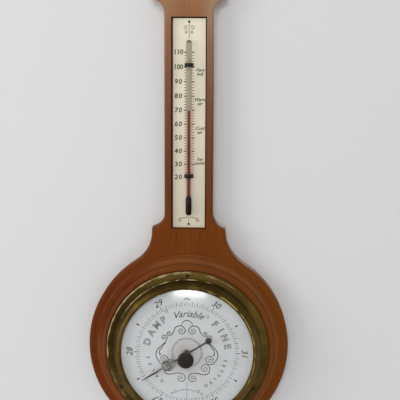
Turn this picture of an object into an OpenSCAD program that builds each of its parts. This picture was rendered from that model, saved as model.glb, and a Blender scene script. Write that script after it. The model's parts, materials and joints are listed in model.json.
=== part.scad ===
// Banjo barometer with a thermometer in its stem and an aneroid movement behind the dial.
// Millimetres. The front faces -Y, +Z is up, and the origin is the hanger hole on the back plane.

/* [Case] */
// Thickness of the board
board_t = 14; // [13:0.5:18]
// Round-over on the board's front edge
edge_r = 2.5; // [1:0.25:4]
// Chamfer on the board's back edge
back_chamfer = 0.6; // [0.2:0.1:1.2]
// Flat wood outside the turned surround
case_border = 4.8; // [3:0.1:10]
// Width of the neck and of the head at the shoulders
neck_w = 58; // [52:1:64]
// Fillet between the neck and the round body
neck_fillet_r = 31; // [20:0.5:34]
// Straight edge of the neck under the lower shoulders
neck_straight = 2.3; // [1:0.1:8]
// Width of the stem
stem_w = 38; // [35:0.5:44]
// Coves that run from the shoulders into the stem
cove_r = 12; // [10:0.5:16]
// Straight edge of the head above the upper shoulders
head_edge = 6; // [3:0.5:10]
// Radius of the crown
crown_r = 20; // [19:0.5:23]

/* [Hanger] */
// Distance from the top of the crown down to the hanger hole
hanger_drop = 16; // [15:0.5:22]
// Radius of the hanger hole
hanger_hole_r = 3; // [2:0.1:4]
// Width of the hanger plate
hanger_w = 30; // [27:0.5:31]
// Height of the hanger plate
hanger_l = 14; // [12:0.5:15]
// Thickness of the hanger plate
hanger_t = 1.2; // [0.8:0.1:2]
// Corner radius of the hanger plate
hanger_corner_r = 2; // [1:0.25:4]
// Radius of the pocket for the nail's head
nail_pocket_r = 5; // [4.5:0.1:5.5]
// Depth of that pocket in front of the hanger plate
nail_pocket_d = 6; // [4:0.5:8]
// Distance from the ends of the hanger plate to its screws
hanger_screw_in = 4; // [3:0.25:5]
// Length of the hanger screws
hanger_screw_l = 9; // [6:0.5:11]

/* [Thermometer] */
// Width of the scale plate
plate_w = 25.4; // [24:0.1:28]
// Length of the scale plate
plate_l = 162; // [152:1:180]
// Thickness of the scale plate
plate_t = 1; // [0.6:0.1:1.5]
// Height of the plate's lower end above the lower shoulders
plate_foot = 0.4; // [0:0.2:6]
// Wood between the plate's upper end and the upper shoulders
plate_head = 14.9; // [12:0.5:20]
// Depth of the slot that the plate lies in
slot_depth = 4; // [3:0.25:5]
// Gap between the plate and the slot's walls
slot_gap = 0.9; // [0.3:0.1:1.5]
// Diameter of the glass tube
tube_d = 4.3; // [3.6:0.1:4.5]
// Length of the thermometer from the bulb to the sealed end
tube_l = 135.9; // [124:0.1:140]
// Height of the bulb's lower end above the plate's lower end
tube_up = 9.7; // [6:0.1:14]
// Diameter of the bulb
bulb_d = 4.7; // [4.5:0.1:5.5]
// Length of the bulb
bulb_l = 15.7; // [10:0.1:20]
// Wall of the bulb
bulb_wall = 0.5; // [0.4:0.05:0.7]
// Diameter of the bore
bore_d = 1.4; // [0.9:0.05:1.6]
// Height of the spirit above the plate's lower end
spirit_up = 91.8; // [45:0.1:125]
// Height of the lower clip above the plate's lower end
lower_clip_up = 41.1; // [35:0.1:60]
// Height of the upper clip above the plate's lower end
upper_clip_up = 126.7; // [100:0.1:128]
// Height of a clip along the tube
clip_w = 3; // [2:0.1:4]
// Thickness of the clip's strap
clip_t = 0.5; // [0.3:0.05:0.8]
// Width of the clip's feet
clip_foot = 0.7; // [0.5:0.1:1.5]
// Distance of the plate's pins from its ends
plate_pin_in = 2.7; // [2:0.1:4]
// Head radius of the plate's pins
plate_pin_r = 0.9; // [0.7:0.05:1.3]
// Head height of the plate's pins
plate_pin_head_h = 0.55; // [0.4:0.05:0.9]
// Shank radius of the plate's pins
plate_pin_shank_r = 0.45; // [0.3:0.05:0.6]
// Length of the plate's pins under the head
plate_pin_l = 5; // [4:0.25:8]

/* [Surround] */
// Thickness of the turned surround at its rim
surround_t = 4.5; // [4:0.25:7]
// Rise of the bezel's seat above the rim
seat_rise = 6.4; // [5:0.1:6.6]
// Flat edge of the seat outside the bezel
seat_edge = 0.5; // [0.3:0.1:1]
// Width from the bezel down to the groove
land_w = 4.6; // [3:0.1:8]
// Width of the turned groove
groove_w = 0.6; // [0.4:0.1:1.2]
// Depth of the turned groove
groove_d = 0.5; // [0.3:0.1:1]
// Flat rim between the groove and the hollow slope
rim_w = 2.3; // [1.5:0.1:4]
// Width of the hollow slope at the outside
hollow_w = 3.9; // [2.5:0.1:6]
// Edge left at the foot of the hollow slope
hollow_foot = 0.4; // [0.2:0.1:1]

/* [Drum and bezel] */
// Outer radius of the movement drum
drum_r = 53; // [51:0.5:58]
// Thickness of the drum's metal
drum_wall = 0.8; // [0.6:0.1:1]
// Gap between the drum and the case
drum_clear = 1.5; // [0.5:0.1:2.5]
// Depth of the drum's back behind the case's back
drum_back = 1.5; // [1.4:0.1:1.9]
// Bend radius of the drum's back corner
drum_bend = 2; // [1.5:0.25:3]
// Height of the drum's rim above the surround
drum_stand = 5; // [4.8:0.2:8]
// Gap between the drum and the bezel's wall
bezel_gap = 4.2; // [3:0.1:6]
// Thickness of the bezel's metal
bezel_t = 0.8; // [0.6:0.1:1]
// Width of the bezel's flange
flange_w = 6.1; // [5:0.1:9]
// Edge of the bezel's flange outside the drum's flange
flange_edge = 0.8; // [0.4:0.1:1.5]
// Radius of the bead round the bezel
bead_r = 0.5; // [0.3:0.05:0.8]
// Height of the curve from the bead to the lip
bezel_curve_h = 6.7; // [5:0.1:8]
// Overlap of the lip on the glass
lip_over = 1.1; // [0.8:0.1:1.8]
// Head radius of the bezel's pins
pin_head_r = 1.5; // [1:0.1:2]
// Height of the heads of the bezel's pins
pin_head_h = 0.9; // [0.6:0.1:1.4]
// Shank radius of the bezel's pins
pin_shank_r = 0.6; // [0.4:0.05:0.8]
// Length of the bezel's pins under the head
pin_l = 17.4; // [15:0.2:20]

/* [Glass and dial] */
// Thickness of the dial
dial_t = 0.8; // [0.5:0.1:1.2]
// Overhang of the dial past the drum
dial_over = 0.2; // [0:0.1:1]
// Radius of the dial's centre hole
dial_hole_r = 2.5; // [2:0.1:3.5]
// Thickness of the split ring under the glass
ring_t = 1; // [0.8:0.1:2]
// Width of the split ring
ring_w = 1.6; // [1.2:0.1:2]
// Gap of the split ring
ring_split = 2; // [1:0.5:6]
// Radius of the domed glass
glass_curve_r = 150; // [140:1:165]
// Thickness of the glass
glass_t = 2; // [1.5:0.1:2.5]

/* [Hands] */
// Pressure shown by the pointer, in inches of mercury
reading = 27.46; // [27:0.02:32]
// Pressure at the top of the dial
top_reading = 29.5; // [29:0.1:30]
// Turn of the pointer for an inch, in degrees
inch_turn = 60; // [55:1:65]
// Gap between the dial and the pointer
pointer_gap = 2.9; // [2.4:0.1:3.4]
// Thickness of the hands
hand_t = 0.4; // [0.3:0.05:0.6]
// Length of the pointer from its axis
pointer_l = 42; // [38:0.5:44]
// Distance of the pointer's pierced ring from its axis
pointer_ring_at = 18.5; // [14:0.5:22]
// Radius of the pointer's pierced ring
pointer_ring_r = 4; // [3:0.1:5]
// Width of the metal round the piercing
pierced_w = 0.8; // [0.6:0.05:1]
// Widest part of the pointer's blade
blade_w = 1.9; // [1.4:0.1:2.6]
// Width of the hands' points
hand_tip_w = 0.3; // [0.2:0.05:0.5]
// Width of the scrolls inside the piercings
scroll_w = 0.5; // [0.4:0.05:0.7]
// Width of the pointer's stem and tail
pointer_stem_w = 1.2; // [0.9:0.1:1.8]
// Distance of the counterweight from the axis
tail_l = 20; // [16:0.5:24]
// Radius of the counterweight
weight_r = 2.5; // [1.8:0.1:3]
// Thickness of the counterweight
weight_t = 1.8; // [1:0.1:2.2]
// Radius of the pointer's collet
collet_r = 3.1; // [2.6:0.1:3.6]
// Height of the pointer's collet under the pointer
collet_h = 1.2; // [0.8:0.1:1.6]
// Angle from the pointer to the set hand, in degrees
set_off = -2.5; // [-90:0.5:90]
// Gap between the pointer and the set hand
set_gap = 2.3; // [2:0.1:2.6]
// Length of the set hand from its axis
set_l = 31; // [26:0.5:34]
// Widest part of the set hand's blade
set_blade_w = 1.7; // [1.3:0.1:2]
// Distance of the set hand's pierced ring from its axis
set_ring_at = 14.5; // [12:0.5:16]
// Radius of the set hand's pierced ring
set_ring_r = 4.1; // [3:0.1:4.5]
// Radius of the set hand's arbor
set_arbor_r = 1; // [0.8:0.05:1.2]
// Radius of the set hand's boss
set_boss_r = 2.4; // [2:0.1:3]
// Radius of the bush through the glass
bush_r = 2.4; // [2.2:0.1:2.8]
// Flange radius of the bush, and of its nut
bush_flange_r = 4; // [3.4:0.1:4.8]
// Thickness of the bush's flange
bush_flange_t = 0.8; // [0.6:0.1:1.2]
// Thickness of the bush's nut
bush_nut_t = 1.2; // [1:0.1:1.5]
// Diameter of the knob
knob_d = 12.5; // [10:0.5:16]
// Height of the knob
knob_h = 6.2; // [5.5:0.1:9]
// Diameter of the knob's neck
knob_neck_d = 7; // [5:0.5:9]
// Height of the knob's foot under its flare
knob_foot = 0.8; // [0.4:0.1:1.2]
// Height of the knob's rim
knob_rim = 1; // [0.5:0.1:1.5]
// Round-over on the knob's front edge
knob_edge_r = 1.6; // [1:0.1:2]
// Rise of the knob's front from its edge to its middle
knob_dome = 0.4; // [0.2:0.1:0.8]
// Solid part of the knob over the set hand's arbor
knob_cap = 2; // [1.5:0.1:2.5]

/* [Movement] */
// Gap between the base plate's edge and the drum
base_margin = 6.2; // [4:0.2:7]
// Thickness of the base plate
base_t = 1.5; // [1.2:0.1:1.8]
// Radius of the vacuum capsule
capsule_r = 24; // [20:0.5:25]
// Height of the capsule at its rim
capsule_t = 7; // [6:0.1:7.4]
// Thickness of the capsule's diaphragms
diaphragm_t = 0.4; // [0.3:0.05:0.6]
// Depth of the diaphragms' corrugations
corrugation = 0.8; // [0.4:0.1:1.2]
// Pitch of the corrugations
corrugation_pitch = 5; // [4:0.25:6]
// Gap between the capsule and the base plate
capsule_gap = 1.2; // [0.8:0.1:1.6]
// Height of the capsule's post up to the main spring
post_h = 3.5; // [3:0.1:4]
// Radius of the capsule's post
post_r = 1.2; // [1:0.1:1.5]
// Thickness of the main spring
spring_t = 0.8; // [0.6:0.1:1]
// Width of the main spring at the bridge
spring_w = 22; // [18:0.5:26]
// Distance of the bridge from the dial's axis
bridge_x = 32; // [30.5:0.5:35]
// Width of the bridge
bridge_w = 28; // [26:0.5:32]
// Thickness of the main lever
lever_t = 1.2; // [0.8:0.1:1.5]
// Width of the main lever
lever_w = 4; // [3:0.25:5]
// Width of the main lever's arm
lever_arm_w = 2.8; // [2:0.1:3.4]
// Width of the main lever's foot on the spring
lever_foot_w = 6; // [5:0.25:7.5]
// Distance of the rocker shaft from the dial's axis
rocker_x = 32; // [30.5:0.5:34]
// Height of the rocker shaft above the base plate
rocker_rise = 5.2; // [5:0.1:6]
// Radius of the rocker shaft
rocker_r = 1; // [0.8:0.05:1.2]
// Length of the rocker's crank
crank_l = 4; // [3.5:0.1:4.4]
// Length of the rocker's chain arm
arm_l = 14; // [13.4:0.1:14.6]
// Radius of the chain's pulley
pulley_r = 1.2; // [1:0.05:1.4]
// Half the width of the chain
chain_r = 0.3; // [0.25:0.05:0.4]
// Pitch of the chain's links
chain_pitch = 1.4; // [1:0.1:2]
// Radius of the chain's links
chain_link_r = 0.36; // [0.3:0.02:0.5]
// Radius of the hand arbor
arbor_r = 0.8; // [0.7:0.05:1]
// Turns of the hairspring
hairspring_turns = 4; // [3:1:5]
// Thickness of the hairspring's strip
hairspring_w = 0.24; // [0.16:0.02:0.3]
// Thickness of the top plate
top_plate_t = 1.2; // [1:0.1:1.5]
// Radius of the windows in the top plate
window_r = 12; // [8:0.5:13]
// Radius of the pillars
pillar_r = 2.5; // [2:0.1:3]
// Shank radius of the movement's screws
screw_r = 1; // [0.8:0.05:1.2]
// Head radius of the movement's screws
screw_head_r = 1.9; // [1.6:0.1:2.2]
// Head height of the movement's screws
screw_head_h = 1.3; // [1:0.1:1.5]
// Width of the screws' slots
driver_slot = 0.5; // [0.4:0.05:0.7]
// Radius of the adjusting screw
adjust_r = 1.5; // [1.2:0.1:1.8]

/* [Fits] */
// Clearance of pressed, screwed and glued fits
seat = 0.02; // [0.01:0.01:0.04]
// Radial clearance of running fits
run = 0.05; // [0.02:0.01:0.08]
// Gap between pieces that move past each other
clear = 0.3; // [0.25:0.05:0.4]
// Gap between let-in pieces and the wood
wood_gap = 0.1; // [0.05:0.05:0.2]

/* [Hidden] */
$fn = 72;
// How far a cut runs past the face it opens
cut = 1;

// Colours
wood = [0.45, 0.22, 0.11];
turned_wood = [0.50, 0.25, 0.12];
aged_brass = [0.55, 0.45, 0.22];
brass = [0.76, 0.62, 0.30];
steel = [0.62, 0.63, 0.65];
black = [0.07, 0.06, 0.06];
cream = [0.88, 0.84, 0.74];
dial_white = [0.84, 0.85, 0.86];
clear_glass = [0.80, 0.88, 0.90, 0.35];
spirit_red = [0.55, 0.12, 0.14];
dark_brown = [0.14, 0.10, 0.08];

// Radii about the dial's axis, from the drum outwards
case_bore_r = drum_r + drum_clear;
wall_in_r = drum_r + bezel_gap;
wall_out_r = wall_in_r + bezel_t;
bezel_r = wall_out_r + flange_w;
drum_flange_r = bezel_r - flange_edge;
pin_circle_r = wall_out_r + flange_w / 2;
land_r = bezel_r + land_w;
groove_r = land_r + groove_w;
slope_r = groove_r + rim_w;
surround_r = slope_r + hollow_w;
body_r = surround_r + case_border;
glass_r = drum_r;
lip_r = glass_r - lip_over;
dial_r = drum_r + dial_over;
ring_r = lip_r + ring_w;
base_r = drum_r - drum_wall - base_margin;

// Heights in front of the back plane, from the board to the knob
surround_h = board_t + surround_t;
land_h = surround_h + seat_rise;
flange_h = land_h + drum_wall;
flange_front_h = flange_h + bezel_t;
rim_h = land_h + drum_stand;
dial_h = rim_h + dial_t;
ring_h = dial_h + ring_t;
glass_in_r = glass_curve_r - glass_t;
glass_in_h = ring_h + sag(glass_in_r, glass_r) + seat;
glass_h = glass_in_h + glass_t;
lip_h = glass_h - sag(glass_curve_r, lip_r) + seat;
bezel_h = lip_h + bezel_t;
bead_h = bezel_h - bezel_curve_h;
pointer_h = dial_h + pointer_gap;
pointer_top_h = pointer_h + hand_t;
arbor_stand = 0.6;
arbor_top_h = pointer_top_h + arbor_stand;
set_h = pointer_top_h + set_gap;
set_boss_h = set_h + 3 * hand_t;
nut_top_h = glass_in_h - sag(glass_in_r, bush_flange_r) - seat;
nut_h = nut_top_h - bush_nut_t;
bush_top_h = glass_h + seat + bush_flange_t;
knob_base_h = bush_top_h + clear;
knob_top_h = knob_base_h + knob_h;
set_arbor_top_h = knob_top_h - knob_cap;

// The case's outline, measured up from the dial's axis
fillet_x = neck_w / 2 + neck_fillet_r;
fillet_rise = sqrt(pow(body_r + neck_fillet_r, 2) - pow(fillet_x, 2));
fillet_a = atan2(fillet_rise, fillet_x);
lower_shoulder = fillet_rise + neck_straight;
plate_rise = lower_shoulder + plate_foot;
upper_shoulder = plate_rise + plate_l + plate_head;
cove_x = stem_w / 2 + cove_r;
cove_drop = sqrt(pow(cove_r, 2) - pow(cove_x - neck_w / 2, 2));
head_cove_r = neck_w / 2 - crown_r;
crown_rise = upper_shoulder + head_edge + head_cove_r;
hanger_rise = crown_rise + crown_r - hanger_drop;
body_n = 36;
arc_n = 8;
edge_n = 5;
diaphragm_n = 40;

// The thermometer
plate_back_h = board_t - slot_depth;
plate_h = plate_back_h + plate_t;
tube_h = plate_h + bulb_d / 2 + seat;
tube_rise = plate_rise + tube_up;
tube_r = tube_d / 2;
bulb_r = bulb_d / 2;
cavity_r = bulb_r - bulb_wall;
bore_r = bore_d / 2;
spirit_l = spirit_up - tube_up;
clip_rises = [plate_rise + lower_clip_up, plate_rise + upper_clip_up];
plate_pin_rises = [plate_rise + plate_pin_in, plate_rise + plate_l - plate_pin_in];

// Heights of the movement, from the base plate up
base_h = drum_back + drum_wall;
base_top_h = base_h + base_t;
capsule_h = base_top_h + capsule_gap;
capsule_mid_h = capsule_h + capsule_t / 2;
spring_h = capsule_h + capsule_t + post_h;
spring_top_h = spring_h + spring_t;
lever_top_h = spring_top_h + lever_t;
rocker_h = base_top_h + rocker_rise;
pulley_line = pulley_r + chain_r;
hand_turn = (reading - top_reading) * inch_turn;
hand_a = 90 - hand_turn;
rocker_tilt = hand_turn * pulley_line / arm_l;
crank_pin_x = rocker_x + crank_l * cos(rocker_tilt);
crank_pin_h = rocker_h - crank_l * sin(rocker_tilt);
arm_end_x = rocker_x + arm_l * sin(rocker_tilt);
chain_h = rocker_h + arm_l * cos(rocker_tilt);
pulley_half = 0.8;
pulley_rim = 0.4;
pulley_room = 2.4;
cock_top_h = chain_h - pulley_room;
cock_t = 1;
cock_h = cock_top_h - cock_t;
top_plate_h = chain_h + pulley_room;
top_plate_top_h = top_plate_h + top_plate_t;

// Places of the movement's pieces across the base plate
three_ways = [90, 210, 330];
base_screw_ways = [30, 150, 270];
base_screw_in = 10;
base_screw_circle_r = base_r - base_screw_in;
base_screw_head_h = 1;
pillar_in = 6;
pillar_circle_r = base_r - pillar_in;
pillar_spigot_r = 1.2;
thread_l = 5;
stud_r = 1.5;
bridge_foot = 5.5;
bridge_top = 4;
bridge_arch_r = 5;
bridge_foot_h = 2;
bridge_slope = 2;
bridge_cap = 6.5;
bridge_screw_in = 3.5;
spring_screw_in = 4;
spring_root_l = 12;
spring_screw_y = spring_w / 2 - spring_screw_in;
bridge_screw_y = bridge_w / 2 - bridge_screw_in;
bridge_screw_top_h = spring_h - bridge_cap;
spring_tip_x = 10;
spring_tip_w = 8;
lever_foot_x = 4.5;
shaft_low = -6;
shaft_high = 18;
pivot_r = 0.5;
bracket_t = 1.5;
bracket_gap = 0.2;
bracket_foot_t = 1.2;
bracket_w = 6;
bracket_screw_ys = [-2.5, 8];
arm_t = 0.8;
arm_y = pulley_line - arm_t / 2;
crank_y = 12.5;
crank_pin_r = 0.6;
crank_pin_l = 1.9;
link_y = 13.8;
link_t = 0.8;
link_w = 1.6;
link_play = 0.55;
cock_post_r = 2.2;
cock_w = 3.5;
cock_screw_l = 3;
cock_reach = 12;
cock_a = 215;
hairspring_in_r = 1.9;
hairspring_out_r = 6.6;
hairspring_gap = 0.4;
hairspring_h = cock_top_h + hairspring_gap;
spiral_n = 24;
hairspring_t = 0.5;
hairspring_stud_r = 0.5;
arbor_pivot_r = 0.4;
adjust_head_r = 2.2;
adjust_head_h = 0.7;

function sag(r, at) = r - sqrt(r * r - at * at);
function oval(c, a, b, a0, a1, n) =
    [for (i = [0:n]) c + [a * cos(a0 + (a1 - a0) * i / n), b * sin(a0 + (a1 - a0) * i / n)]];
function arc(c, r, a0, a1, n) = oval(c, r, r, a0, a1, n);
function tail(p) = [for (i = [1:len(p) - 1]) p[i]];
function on_circle(r, a) = [r * cos(a), r * sin(a)];

// Right half of the case's outline, moved in by d, from the bottom of the body to the crown
function cove_a(d) = acos((cove_x - neck_w / 2 + d) / (cove_r + d));
function head_cove_a(d) = acos(d / (head_cove_r + d));
function right_side(d) = concat(
    arc([0, 0], body_r - d, -90, fillet_a, body_n),
    tail(arc([fillet_x, fillet_rise], neck_fillet_r + d, 180 + fillet_a, 180, arc_n)),
    arc([cove_x, lower_shoulder + cove_drop], cove_r + d, 180 + cove_a(d), 180, arc_n),
    arc([cove_x, upper_shoulder - cove_drop], cove_r + d, 180, 180 - cove_a(d), arc_n),
    arc([neck_w / 2, crown_rise], head_cove_r + d, 180 + head_cove_a(d), 180, arc_n),
    tail(arc([0, crown_rise], crown_r - d, 0, 90, arc_n)));
function outline(d) = let (p = right_side(d)) concat(p, [for (i = [len(p) - 2:-1:1]) [-p[i][0], p[i][1]]]);

// Insets and heights of the rings from the back chamfer to the front round-over
case_rings = concat(
    [[back_chamfer, 0], [0, back_chamfer]],
    [for (i = [0:edge_n]) let (a = 90 * i / edge_n)
        [edge_r * (1 - cos(a)), board_t - edge_r + edge_r * sin(a)]]);

// Lays a piece out with x across, y up from the dial's axis and z in front of the back plane
module at_dial() { translate([0, 0, -hanger_rise]) rotate([90, 0, 0]) children(); }

module disc(r, from, to) { translate([0, 0, from]) cylinder(r = r, h = to - from); }

module turned(points) { rotate_extrude() polygon(points); }

// Extrudes an outline drawn in x and height along y
module upright(y, l) { translate([0, y + l, 0]) rotate([90, 0, 0]) linear_extrude(l) children(); }

// Turns a profile drawn in radius and length about an axis along y
module turned_up(points) { rotate([-90, 0, 0]) rotate_extrude() polygon(points); }

module around(r, ways) { for (a = ways) translate(concat(on_circle(r, a), 0)) children(); }

module bar(x0, x1, w) { translate([x0, -w / 2]) square([x1 - x0, w]); }

module rounded_plate(w, l, r) {
    square([w - 2 * r, l], center = true);
    square([w, l - 2 * r], center = true);
    for (x = [-1, 1], y = [-1, 1]) translate([x * (w / 2 - r), y * (l / 2 - r)]) circle(r);
}

// The cut for a screwdriver across a head, d / 2 deep from the face at height h
module driver_cut(r, h, d) { translate([0, 0, h]) cube([2 * r + cut, driver_slot, d], center = true); }

// A slot-headed screw whose head rests at height h
module screw(h, l) {
    difference() {
        union() {
            disc(screw_head_r, h, h + screw_head_h);
            disc(screw_r, h - l, h + screw_head_h / 2);
        }
        driver_cut(screw_head_r, h + screw_head_h, screw_head_h);
    }
}

// The board as a loft of its outline, with each flat face in strips across from side to side
module lofted_board() {
    half = len(right_side(0));
    n = 2 * half - 2;
    last = len(case_rings) - 1;
    points = [for (ring = case_rings) for (p = outline(ring[0])) [p[0], p[1], ring[1]]];
    sides = [for (k = [0:last - 1]) for (i = [0:n - 1]) let (a = k * n + i, b = k * n + (i + 1) % n)
        each [[a, a + n, b + n], [a, b + n, b]]];
    back = concat(
        [for (i = [0:half - 3]) [i, i + 1, n - i - 1]],
        [for (i = [1:half - 2]) [i, n - i - 1, n - i]]);
    front = [for (t = back) [t[2], t[1], t[0]] + last * n * [1, 1, 1]];
    polyhedron(points, concat(back, sides, front));
}

module pin_holes(from, to) { around(pin_circle_r, three_ways) disc(pin_shank_r + seat, from, to); }

module at_hanger_screws() {
    for (side = [-1, 1]) translate([side * (hanger_w / 2 - hanger_screw_in), hanger_rise, 0]) children();
}

module at_plate_pins() { for (rise = plate_pin_rises) translate([0, rise, 0]) children(); }

module case() {
    color(wood) at_dial() difference() {
        lofted_board();
        disc(case_bore_r, -cut, board_t + cut);
        translate([-plate_w / 2 - slot_gap, plate_rise - slot_gap, plate_back_h])
            cube([plate_w + 2 * slot_gap, plate_l + 2 * slot_gap, slot_depth + cut]);
        translate([0, hanger_rise, -cut]) linear_extrude(hanger_t + wood_gap + cut)
            rounded_plate(hanger_w + 2 * wood_gap, hanger_l + 2 * wood_gap, hanger_corner_r + wood_gap);
        translate([0, hanger_rise, 0]) disc(nail_pocket_r, 0, hanger_t + nail_pocket_d);
        at_hanger_screws() disc(screw_r + seat, 0, hanger_screw_l + clear);
        at_plate_pins() disc(plate_pin_shank_r + seat, plate_h - plate_pin_l - clear, board_t);
        pin_holes(flange_front_h - pin_l - clear, board_t + cut);
    }
}

module surround() {
    color(turned_wood) at_dial() difference() {
        turned(concat(
            [[case_bore_r, board_t], [case_bore_r, land_h]],
            oval([bezel_r + seat_edge, surround_h], land_w - seat_edge, seat_rise, 90, 0, arc_n),
            [[land_r, surround_h - groove_d], [groove_r, surround_h - groove_d], [groove_r, surround_h]],
            oval([surround_r, surround_h], hollow_w, surround_t - hollow_foot, 180, 270, arc_n),
            [[surround_r, board_t]]));
        pin_holes(board_t - cut, land_h + cut);
    }
}

module hanger_plate() {
    color(brass) at_dial() difference() {
        translate([0, hanger_rise, 0]) linear_extrude(hanger_t)
            rounded_plate(hanger_w, hanger_l, hanger_corner_r);
        translate([0, hanger_rise, 0]) disc(hanger_hole_r, -cut, hanger_t + cut);
        at_hanger_screws() {
            disc(screw_r + seat, -cut, hanger_t + cut);
            cylinder(r1 = screw_r + hanger_t + seat, r2 = screw_r + seat, h = hanger_t);
        }
    }
}

module hanger_screws() {
    color(brass) at_dial() at_hanger_screws() difference() {
        turned([[0, seat], [screw_r + hanger_t - seat, seat], [screw_r, hanger_t],
            [screw_r, hanger_screw_l - screw_r], [0, hanger_screw_l]]);
        driver_cut(screw_r + hanger_t, 0, hanger_t);
    }
}

module thermometer_plate() {
    color(cream) at_dial() difference() {
        translate([-plate_w / 2, plate_rise, plate_back_h]) cube([plate_w, plate_l, plate_t]);
        at_plate_pins() disc(plate_pin_shank_r + seat, plate_back_h - cut, plate_h + cut);
    }
}

module thermometer_tube() {
    outer = concat(
        arc([0, bulb_r], bulb_r, -90, 0, arc_n),
        [[bulb_r, bulb_l - bulb_r], [tube_r, bulb_l]],
        arc([0, tube_l - tube_r], tube_r, 0, 90, arc_n));
    bore_end = tube_l - 2 * tube_r;
    inner = concat(
        [[0, bore_end], [bore_r, bore_end], [bore_r, bulb_l], [cavity_r, bulb_l - bulb_r]],
        arc([0, bulb_r], cavity_r, 0, -90, arc_n));
    color(clear_glass) at_dial() translate([0, tube_rise, tube_h]) turned_up(concat(outer, inner));
}

module thermometer_spirit() {
    pool_r = cavity_r - run;
    thread_r = bore_r - run;
    color(spirit_red) at_dial() translate([0, tube_rise, tube_h]) turned_up(concat(
        arc([0, bulb_r], pool_r, -90, 0, arc_n),
        [[pool_r, bulb_l - bulb_r], [thread_r, bulb_l], [thread_r, spirit_l], [0, spirit_l]]));
}

module tube_clips() {
    inner_r = tube_r + run;
    outer_r = inner_r + clip_t;
    color(black) at_dial() for (rise = clip_rises) upright(rise - clip_w / 2, clip_w) difference() {
        union() {
            translate([0, tube_h]) circle(outer_r);
            translate([-outer_r, plate_h]) square([2 * outer_r, tube_h - plate_h]);
            translate([-outer_r - clip_foot, plate_h]) square([2 * (outer_r + clip_foot), clip_t]);
        }
        translate([0, tube_h]) circle(inner_r);
        translate([-inner_r, plate_h - cut]) square([2 * inner_r, tube_h - plate_h + cut]);
    }
}

module plate_pins() {
    color(black) at_dial() at_plate_pins() turned(concat(
        [[0, plate_h - plate_pin_l], [plate_pin_shank_r, plate_h - plate_pin_l + plate_pin_shank_r],
            [plate_pin_shank_r, plate_h]],
        oval([0, plate_h], plate_pin_r, plate_pin_head_h, 0, 90, arc_n)));
}

module movement_drum() {
    inner_r = drum_r - drum_wall;
    color(steel) at_dial() difference() {
        turned(concat(
            [[0, drum_back]],
            arc([drum_r - drum_bend, drum_back + drum_bend], drum_bend, -90, 0, arc_n),
            [[drum_r, land_h], [drum_flange_r, land_h], [drum_flange_r, flange_h], [drum_r, flange_h],
                [drum_r, rim_h], [inner_r, rim_h]],
            arc([drum_r - drum_bend, drum_back + drum_bend], drum_bend - drum_wall, 0, -90, arc_n),
            [[0, base_h]]));
        around(base_screw_circle_r, base_screw_ways) disc(screw_r + clear / 2, drum_back - cut, base_h + cut);
        translate([-bridge_x, 0, 0]) disc(adjust_head_r + clear, drum_back - cut, base_h + cut);
        pin_holes(land_h - cut, flange_h + cut);
    }
}

module bezel() {
    outer = concat(
        [[bezel_r, flange_h], [bezel_r, flange_front_h - bezel_t / 2],
            [bezel_r - bezel_t / 2, flange_front_h], [wall_out_r + bead_r, flange_front_h],
            [wall_out_r, flange_front_h + bead_r]],
        arc([wall_out_r, bead_h - bead_r], bead_r, -90, 90, arc_n),
        tail(oval([lip_r, bead_h], wall_out_r - lip_r, bezel_curve_h, 0, 90, 2 * arc_n)));
    inner = oval([lip_r, bead_h], wall_in_r - lip_r, lip_h - bead_h, 90, 0, 2 * arc_n);
    color(aged_brass) at_dial() difference() {
        turned(concat(outer, inner, [[wall_in_r, flange_h]]));
        pin_holes(flange_h - cut, flange_front_h + cut);
    }
}

module bezel_pins() {
    tip_h = flange_front_h - pin_l;
    color(aged_brass) at_dial() around(pin_circle_r, three_ways) turned(concat(
        [[0, tip_h], [pin_shank_r, tip_h + 2 * pin_shank_r], [pin_shank_r, flange_front_h]],
        oval([0, flange_front_h], pin_head_r, pin_head_h, 0, 90, arc_n)));
}

// The dome's profile from its centre hole to its edge and back
module glass() {
    hole_r = bush_r + wood_gap;
    steps = 2 * arc_n;
    radii = [for (i = [0:steps]) hole_r + (glass_r - hole_r) * i / steps];
    color(clear_glass) at_dial() turned(concat(
        [for (r = radii) [r, glass_in_h - sag(glass_in_r, r)]],
        [for (i = [steps:-1:0]) [radii[i], glass_h - sag(glass_curve_r, radii[i])]]));
}

module glass_ring() {
    color(brass) at_dial() difference() {
        turned([[lip_r, dial_h], [ring_r, dial_h], [ring_r, ring_h], [lip_r, ring_h]]);
        translate([-ring_split / 2, -ring_r - cut, dial_h - cut])
            cube([ring_split, ring_w + 2 * cut, ring_t + 2 * cut]);
    }
}

module dial() {
    color(dial_white) at_dial() difference() {
        disc(dial_r, rim_h, dial_h);
        disc(dial_hole_r, rim_h - cut, dial_h + cut);
    }
}

// A ring with two small scrolls held inside it by a middle bar
module pierced_ring(at, r) {
    scroll_r = (r - pierced_w) / 2;
    translate([at, 0]) {
        difference() {
            circle(r);
            circle(r - pierced_w);
        }
        bar(-r + pierced_w / 2, r - pierced_w / 2, scroll_w);
        for (side = [-1, 1]) translate([-scroll_r / 2, side * scroll_r]) difference() {
            circle(scroll_r);
            circle(scroll_r - scroll_w);
        }
    }
}

// A blade that swells from the stem's width to w a third of the way out, and tapers to its point
module tapered_blade(from, to, w) {
    half = [[from, pointer_stem_w / 2], [from + (to - from) / 3, w / 2], [to, hand_tip_w / 2]];
    polygon(concat(half, [for (i = [2:-1:0]) [half[i][0], -half[i][1]]]));
}

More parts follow.
